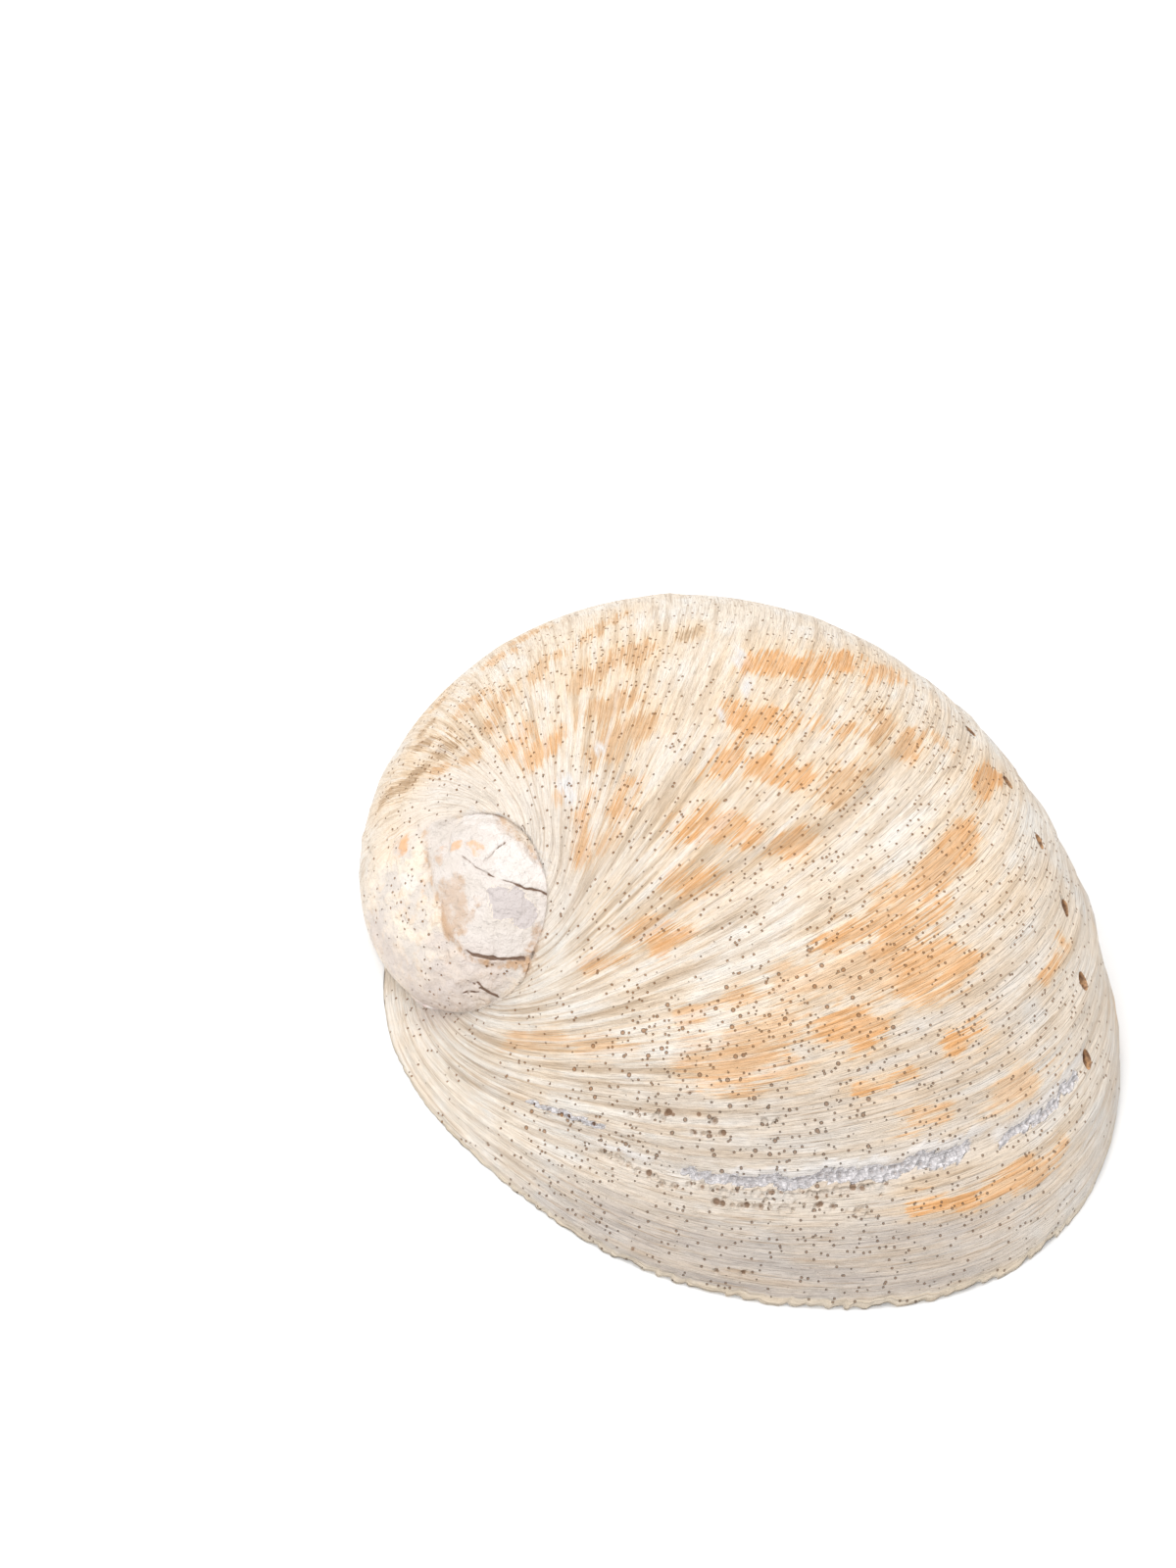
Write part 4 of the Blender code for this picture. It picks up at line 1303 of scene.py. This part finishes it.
    # Bump: growth lines as wide as they lie apart, then the curds and bubbles of the worn
    # part, grain, holes and the cells of the bare nacre.
    worn = p.most(dome, old)
    height = p.times(lines, 0.8)
    for what, much in ((hairs, 0.35), (bands, 0.8), (p.times(ribs, fan), -2.2)):
        height = p.plus(height, p.times(what, much))
    height = p.times(p.times(height, p.attribute("span")), p.minus(1.0, worn))
    for what, much in (
        (curd, p.step(worn, 0.0, 1.0, 0.35, 1.1)),
        (p.times(p.cells(place, BUBBLES)[0], worn), -0.45),
        (grain, 0.30),
        (dot, -0.9),
        (p.times(comb, bare), -2.2),
    ):
        height = p.plus(height, p.times(what, much))
    rough = p.step(p.most(dome, bare), 0.0, 1.0, 0.60, 0.34)
    normal = p.bump(height, 1.0, BUMP_HEIGHT)
    links = {"Base Color": p.ground, "Normal": normal, "Roughness": rough}
    return p.shader({"Specular IOR Level": 0.35}, links)


def nacre_paint(colours):
    """The inside: nacre whose gleams follow the growth, with a cream edge at the rim."""
    p = Paint("shell_nacre", colours)
    place = p.place()
    folds = p.streaks(1.2, 12.0, 2.0, 0.5)
    shine = p.plus(p.times(folds, 0.7), p.times(p.noise(place, 26.0), 0.6))
    ramp = p.node("ShaderNodeValToRGB", links={"Fac": shine})
    stops = (
        (0.30, colours.nacre_pink),
        (0.48, colours.nacre_white),
        (0.60, colours.nacre_rose),
        (0.70, colours.nacre_white),
        (0.80, colours.nacre_green),
        (0.92, colours.nacre_lilac),
    )
    for element, (position, colour) in zip(ramp.color_ramp.elements, (stops[0], stops[-1])):
        element.position = position
        element.color = (*colour, 1.0)
    for position, colour in stops[1:-1]:
        ramp.color_ramp.elements.new(position).color = (*colour, 1.0)
    wrinkle = p.plus(folds, p.times(p.noise(place, 300.0), 0.08))
    normal = p.bump(wrinkle, 0.5, 0.0010)
    edge = p.step(p.attribute("inner"), 0.35, 0.9)
    colour = p.mix(edge, "cream", ramp.outputs["Color"])
    links = {"Base Color": colour, "Normal": normal}
    values = {"Roughness": 0.26, "Specular IOR Level": 0.6}
    values.update({"Coat Weight": 0.35, "Coat Roughness": 0.12})
    return p.shader(values, links)


def hole_paint(colours):
    """The walls of the open holes."""
    p = Paint("shell_hole_wall", colours)
    grain = p.noise(p.place(), 1200.0)
    colour = p.mix(p.step(grain, 0.35, 0.65), "dot", "tan")
    links = {"Base Color": colour, "Normal": p.bump(grain, 0.4, 0.0002)}
    return p.shader({"Roughness": 0.7}, links)


def colour_property(title, words, default):
    return bpy.props.FloatVectorProperty(
        name=title, description=words, subtype='COLOR', size=3, min=0.0, max=1.0,
        default=default,
    )


class ShellColours(bpy.types.PropertyGroup):
    """Paints of the shell, as linear colours."""

    # Also laid as painted highlight on the rib crests beside the spire.
    pale: colour_property("Pale", "Whitest ground", (0.90, 0.852, 0.785))
    cream: colour_property("Cream", "Cream ground", (0.88, 0.765, 0.635))
    sand: colour_property("Sand", "Warm ground near the marks", (0.88, 0.67, 0.46))
    # Partly the lip's own duller tone, partly painted shade on the lower front and the side wall.
    grey: colour_property("Grey", "Dull ground near the lip", (0.46, 0.40, 0.36))
    line: colour_property("Line", "Shade in the growth lines", (0.47, 0.33, 0.21))
    apricot: colour_property("Apricot", "Bright marks", (0.80, 0.40, 0.15))
    ember: colour_property("Ember", "Dark streaks in the marks", (0.60, 0.25, 0.05))
    tan: colour_property("Tan", "Duller marks", (0.70, 0.42, 0.22))
    brown: colour_property("Brown", "Darkest marks", (0.44, 0.29, 0.17))
    bore: colour_property("Bore", "Bored holes in the warm ground", (0.38, 0.17, 0.06))
    dot: colour_property("Dot", "Inside of bored holes", (0.27, 0.155, 0.09))
    crack: colour_property("Crack", "Inside of cracks", (0.20, 0.12, 0.08))
    chalk: colour_property("Chalk", "Old whorls", (0.69, 0.62, 0.56))
    milk: colour_property("Milk", "Smooth dome of the spire", (0.74, 0.67, 0.62))
    stain: colour_property("Stain", "Brown stains of the spire", (0.57, 0.37, 0.23))
    lilac: colour_property("Lilac", "Layer bared on the spire", (0.58, 0.52, 0.51))
    snow: colour_property("Snow", "Whitest chips and crust", (0.86, 0.82, 0.79))
    pearl: colour_property("Pearl", "Bare nacre outside", (0.90, 0.86, 0.87))
    cell: colour_property("Cell", "Shade in the cells of the bare nacre", (0.72, 0.65, 0.63))
    # Painted light: paler paint that lifts the shaded valley behind the spire.
    bright: colour_property("Bright", "Clean ground behind the spire", (0.90, 0.81, 0.72))
    shade: colour_property("Shade", "Greyer lower face of the spire", (0.66, 0.56, 0.51))
    edge: colour_property("Edge", "Bare edge of the lip", (0.78, 0.66, 0.50))
    nacre_pink: colour_property("Nacre pink", "Warm nacre", (0.80, 0.56, 0.47))
    nacre_rose: colour_property("Nacre rose", "Rose nacre", (0.85, 0.66, 0.62))
    nacre_white: colour_property("Nacre white", "Pearl nacre", (0.90, 0.84, 0.80))
    nacre_green: colour_property("Nacre green", "Green gleam", (0.62, 0.74, 0.60))
    nacre_lilac: colour_property("Nacre lilac", "Lilac gleam", (0.70, 0.60, 0.76))


class StageSettings(bpy.types.PropertyGroup):
    """Floor and lights."""

    floor_colour: colour_property("Floor colour", "Pale plain floor", (0.90, 0.90, 0.90))
    floor_size: bpy.props.FloatProperty(
        name="Floor size", description="Side of the floor", default=6.0, unit='LENGTH'
    )
    sky: bpy.props.FloatProperty(
        name="Sky", description="Strength of the soft light all round", default=0.80, min=0.0
    )
    key: bpy.props.FloatProperty(
        name="Key light", description="Power of the large soft light", default=2.9, min=0.0,
        unit='POWER',
    )
    fill: bpy.props.FloatProperty(
        name="Fill light", description="Power of the light from the front", default=2.15,
        min=0.0, unit='POWER',
    )


def solid_tree():
    """Search tree over the faces of the solid."""
    bm = bmesh.new()
    bm.from_mesh(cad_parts["abalone_shell"].data)
    bmesh.ops.remove_doubles(bm, verts=bm.verts[:], dist=1.0e-7)
    tree = BVHTree.FromBMesh(bm)
    bm.free()
    return tree


def shell_skin(solid):
    """The closed skin, and the spot, psi, turn and side of each of its vertices."""
    bm = bmesh.new()
    growth_ribbon(bm)
    border, rim = rim_ring(bm)
    in_rim = set(rim)
    top = [e for e in border if e.verts[0] not in in_rim]
    worn_spire(bm, solid, walk_loop(top, top[0].verts[0]))
    rim = rim_ring(bm)[1]
    before = set(bm.faces)
    hollow(bm, solid, rim)
    keep_in_box(bm)
    bmesh.ops.recalc_face_normals(bm, faces=bm.faces[:])
    if bm.calc_volume(signed=True) < 0.0:
        bmesh.ops.reverse_faces(bm, faces=bm.faces[:])
    psi_layer = bm.verts.layers.float["psi"]
    turn_layer = bm.verts.layers.float["turn"]
    side_layer = bm.verts.layers.float["side"]
    # The inner wall takes its place in time from the outer face behind it.
    outer = [v for v in bm.verts if v[side_layer] < 0.01]
    tree = tree_of([v.co for v in outer])
    for v in bm.verts:
        if v[side_layer] > 0.01:
            near = outer[tree.find(v.co)[1]]
            v[psi_layer] = near[psi_layer]
            v[turn_layer] = near[turn_layer]
    made = [face for face in bm.faces if face not in before]
    write_map(bm, made)
    for face in made:
        face.material_index = 1 if min(v[side_layer] for v in face.verts) > 0.25 else 0
    for face in bm.faces:
        face.smooth = True
    known = [(v.co.copy(), v[psi_layer], v[turn_layer], v[side_layer]) for v in bm.verts]
    return mesh_from(bm, "abalone_shell_skin"), known


def pierce(context, piece):
    """Cut the open holes of the row with their pegs, and keep the cut mesh."""
    pegs = bpy.data.objects.new("hole_pegs", hole_pegs())
    context.scene.collection.objects.link(pegs)
    cut = piece.modifiers.new("holes", 'BOOLEAN')
    cut.operation = 'DIFFERENCE'
    cut.solver = 'EXACT'
    cut.object = pegs
    context.view_layer.update()
    shown = piece.evaluated_get(context.evaluated_depsgraph_get())
    pierced = bpy.data.meshes.new_from_object(shown)
    piece.modifiers.clear()
    piece.data = pierced
    bpy.data.objects.remove(pegs, do_unlink=True)
    pierced.name = "abalone_shell_skin"


class SHELL_OT_grow(bpy.types.Operator):
    """Grow the shell: outer face, worn spire, rim, hollow and holes."""

    bl_idname = "shell.grow"
    bl_label = "Grow shell"

    def execute(self, context):
        colours = context.scene.shell_colours
        mesh, known = shell_skin(solid_tree())
        for paint in (outside_paint(colours), nacre_paint(colours), hole_paint(colours)):
            mesh.materials.append(paint)
        piece = bpy.data.objects.new("abalone_shell_skin", mesh)
        context.scene.collection.objects.link(piece)
        pierce(context, piece)
        tree = tree_of([row[0] for row in known])
        rows = np.array([known[tree.find(v.co)[1]][1:] for v in piece.data.vertices])
        place_masks(piece.data, rows[:, 0], rows[:, 1], rows[:, 2])
        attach(piece, "root")
        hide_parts("abalone_shell")
        return {'FINISHED'}


class SHELL_OT_stage(bpy.types.Operator):
    """Set the floor, the soft lights and the camera."""

    bl_idname = "shell.stage"
    bl_label = "Set stage"

    def execute(self, context):
        settings = context.scene.shell_stage
        scene = context.scene
        bm = bmesh.new()
        bmesh.ops.create_grid(bm, x_segments=1, y_segments=1, size=0.5 * settings.floor_size)
        mesh = mesh_from(bm, "floor")
        floor = bpy.data.objects.new("floor", mesh)
        floor.location = FLOOR_PLACE
        scene.collection.objects.link(floor)
        p = Paint("floor_white")
        tone = p.mix(p.noise(p.place(), 3.0, 1.0), tuple(settings.floor_colour), FLOOR_CLOUD)
        values = {"Roughness": 0.9, "Specular IOR Level": 0.1}
        mesh.materials.append(p.shader(values, {"Base Color": tone}))
        world = bpy.data.worlds.new("studio")
        world.use_nodes = True
        sky = world.node_tree.nodes["Background"]
        sky.inputs["Color"].default_value = (1.0, 1.0, 1.0, 1.0)
        sky.inputs["Strength"].default_value = settings.sky
        scene.world = world
        scene.view_settings.view_transform = 'Standard'
        for name, size, spot in LIGHTS:
            light = bpy.data.lights.new(name, 'AREA')
            light.energy = getattr(settings, name)
            light.size = size
            lamp = bpy.data.objects.new(name, light)
            lamp.location = spot
            lamp.rotation_euler = (-Vector(spot)).to_track_quat('-Z', 'Y').to_euler()
            scene.collection.objects.link(lamp)
        lens = bpy.data.cameras.new("camera")
        lens.sensor_width = CAMERA_SENSOR
        lens.lens = CAMERA_LENS
        lens.clip_start = CAMERA_NEAR
        camera = bpy.data.objects.new("camera", lens)
        camera.location = CAMERA_PLACE
        camera.rotation_euler = (math.radians(CAMERA_TILT), 0.0, math.radians(CAMERA_SWING))
        scene.collection.objects.link(camera)
        scene.camera = camera
        return {'FINISHED'}


class SHELL_PT_panel(bpy.types.Panel):
    """Buttons for the shell and its stage."""

    bl_idname = "SHELL_PT_panel"
    bl_label = "Abalone shell"
    bl_space_type = 'VIEW_3D'
    bl_region_type = 'UI'
    bl_category = "Shell"

    def draw(self, context):
        for operator in (SHELL_OT_grow, SHELL_OT_stage):
            self.layout.operator(operator.bl_idname)
        for name in ShellColours.__annotations__:
            self.layout.prop(context.scene.shell_colours, name)
        for name in StageSettings.__annotations__:
            self.layout.prop(context.scene.shell_stage, name)


CLASSES = (ShellColours, StageSettings, SHELL_OT_grow, SHELL_OT_stage, SHELL_PT_panel)


def register():
    for item in CLASSES:
        bpy.utils.register_class(item)
    bpy.types.Scene.shell_colours = bpy.props.PointerProperty(type=ShellColours)
    bpy.types.Scene.shell_stage = bpy.props.PointerProperty(type=StageSettings)


def unregister():
    del bpy.types.Scene.shell_stage
    del bpy.types.Scene.shell_colours
    for item in reversed(CLASSES):
        bpy.utils.unregister_class(item)


def main():
    register()
    bpy.ops.shell.grow()
    bpy.ops.shell.stage()
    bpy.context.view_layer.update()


if __name__ == "__main__":
    main()
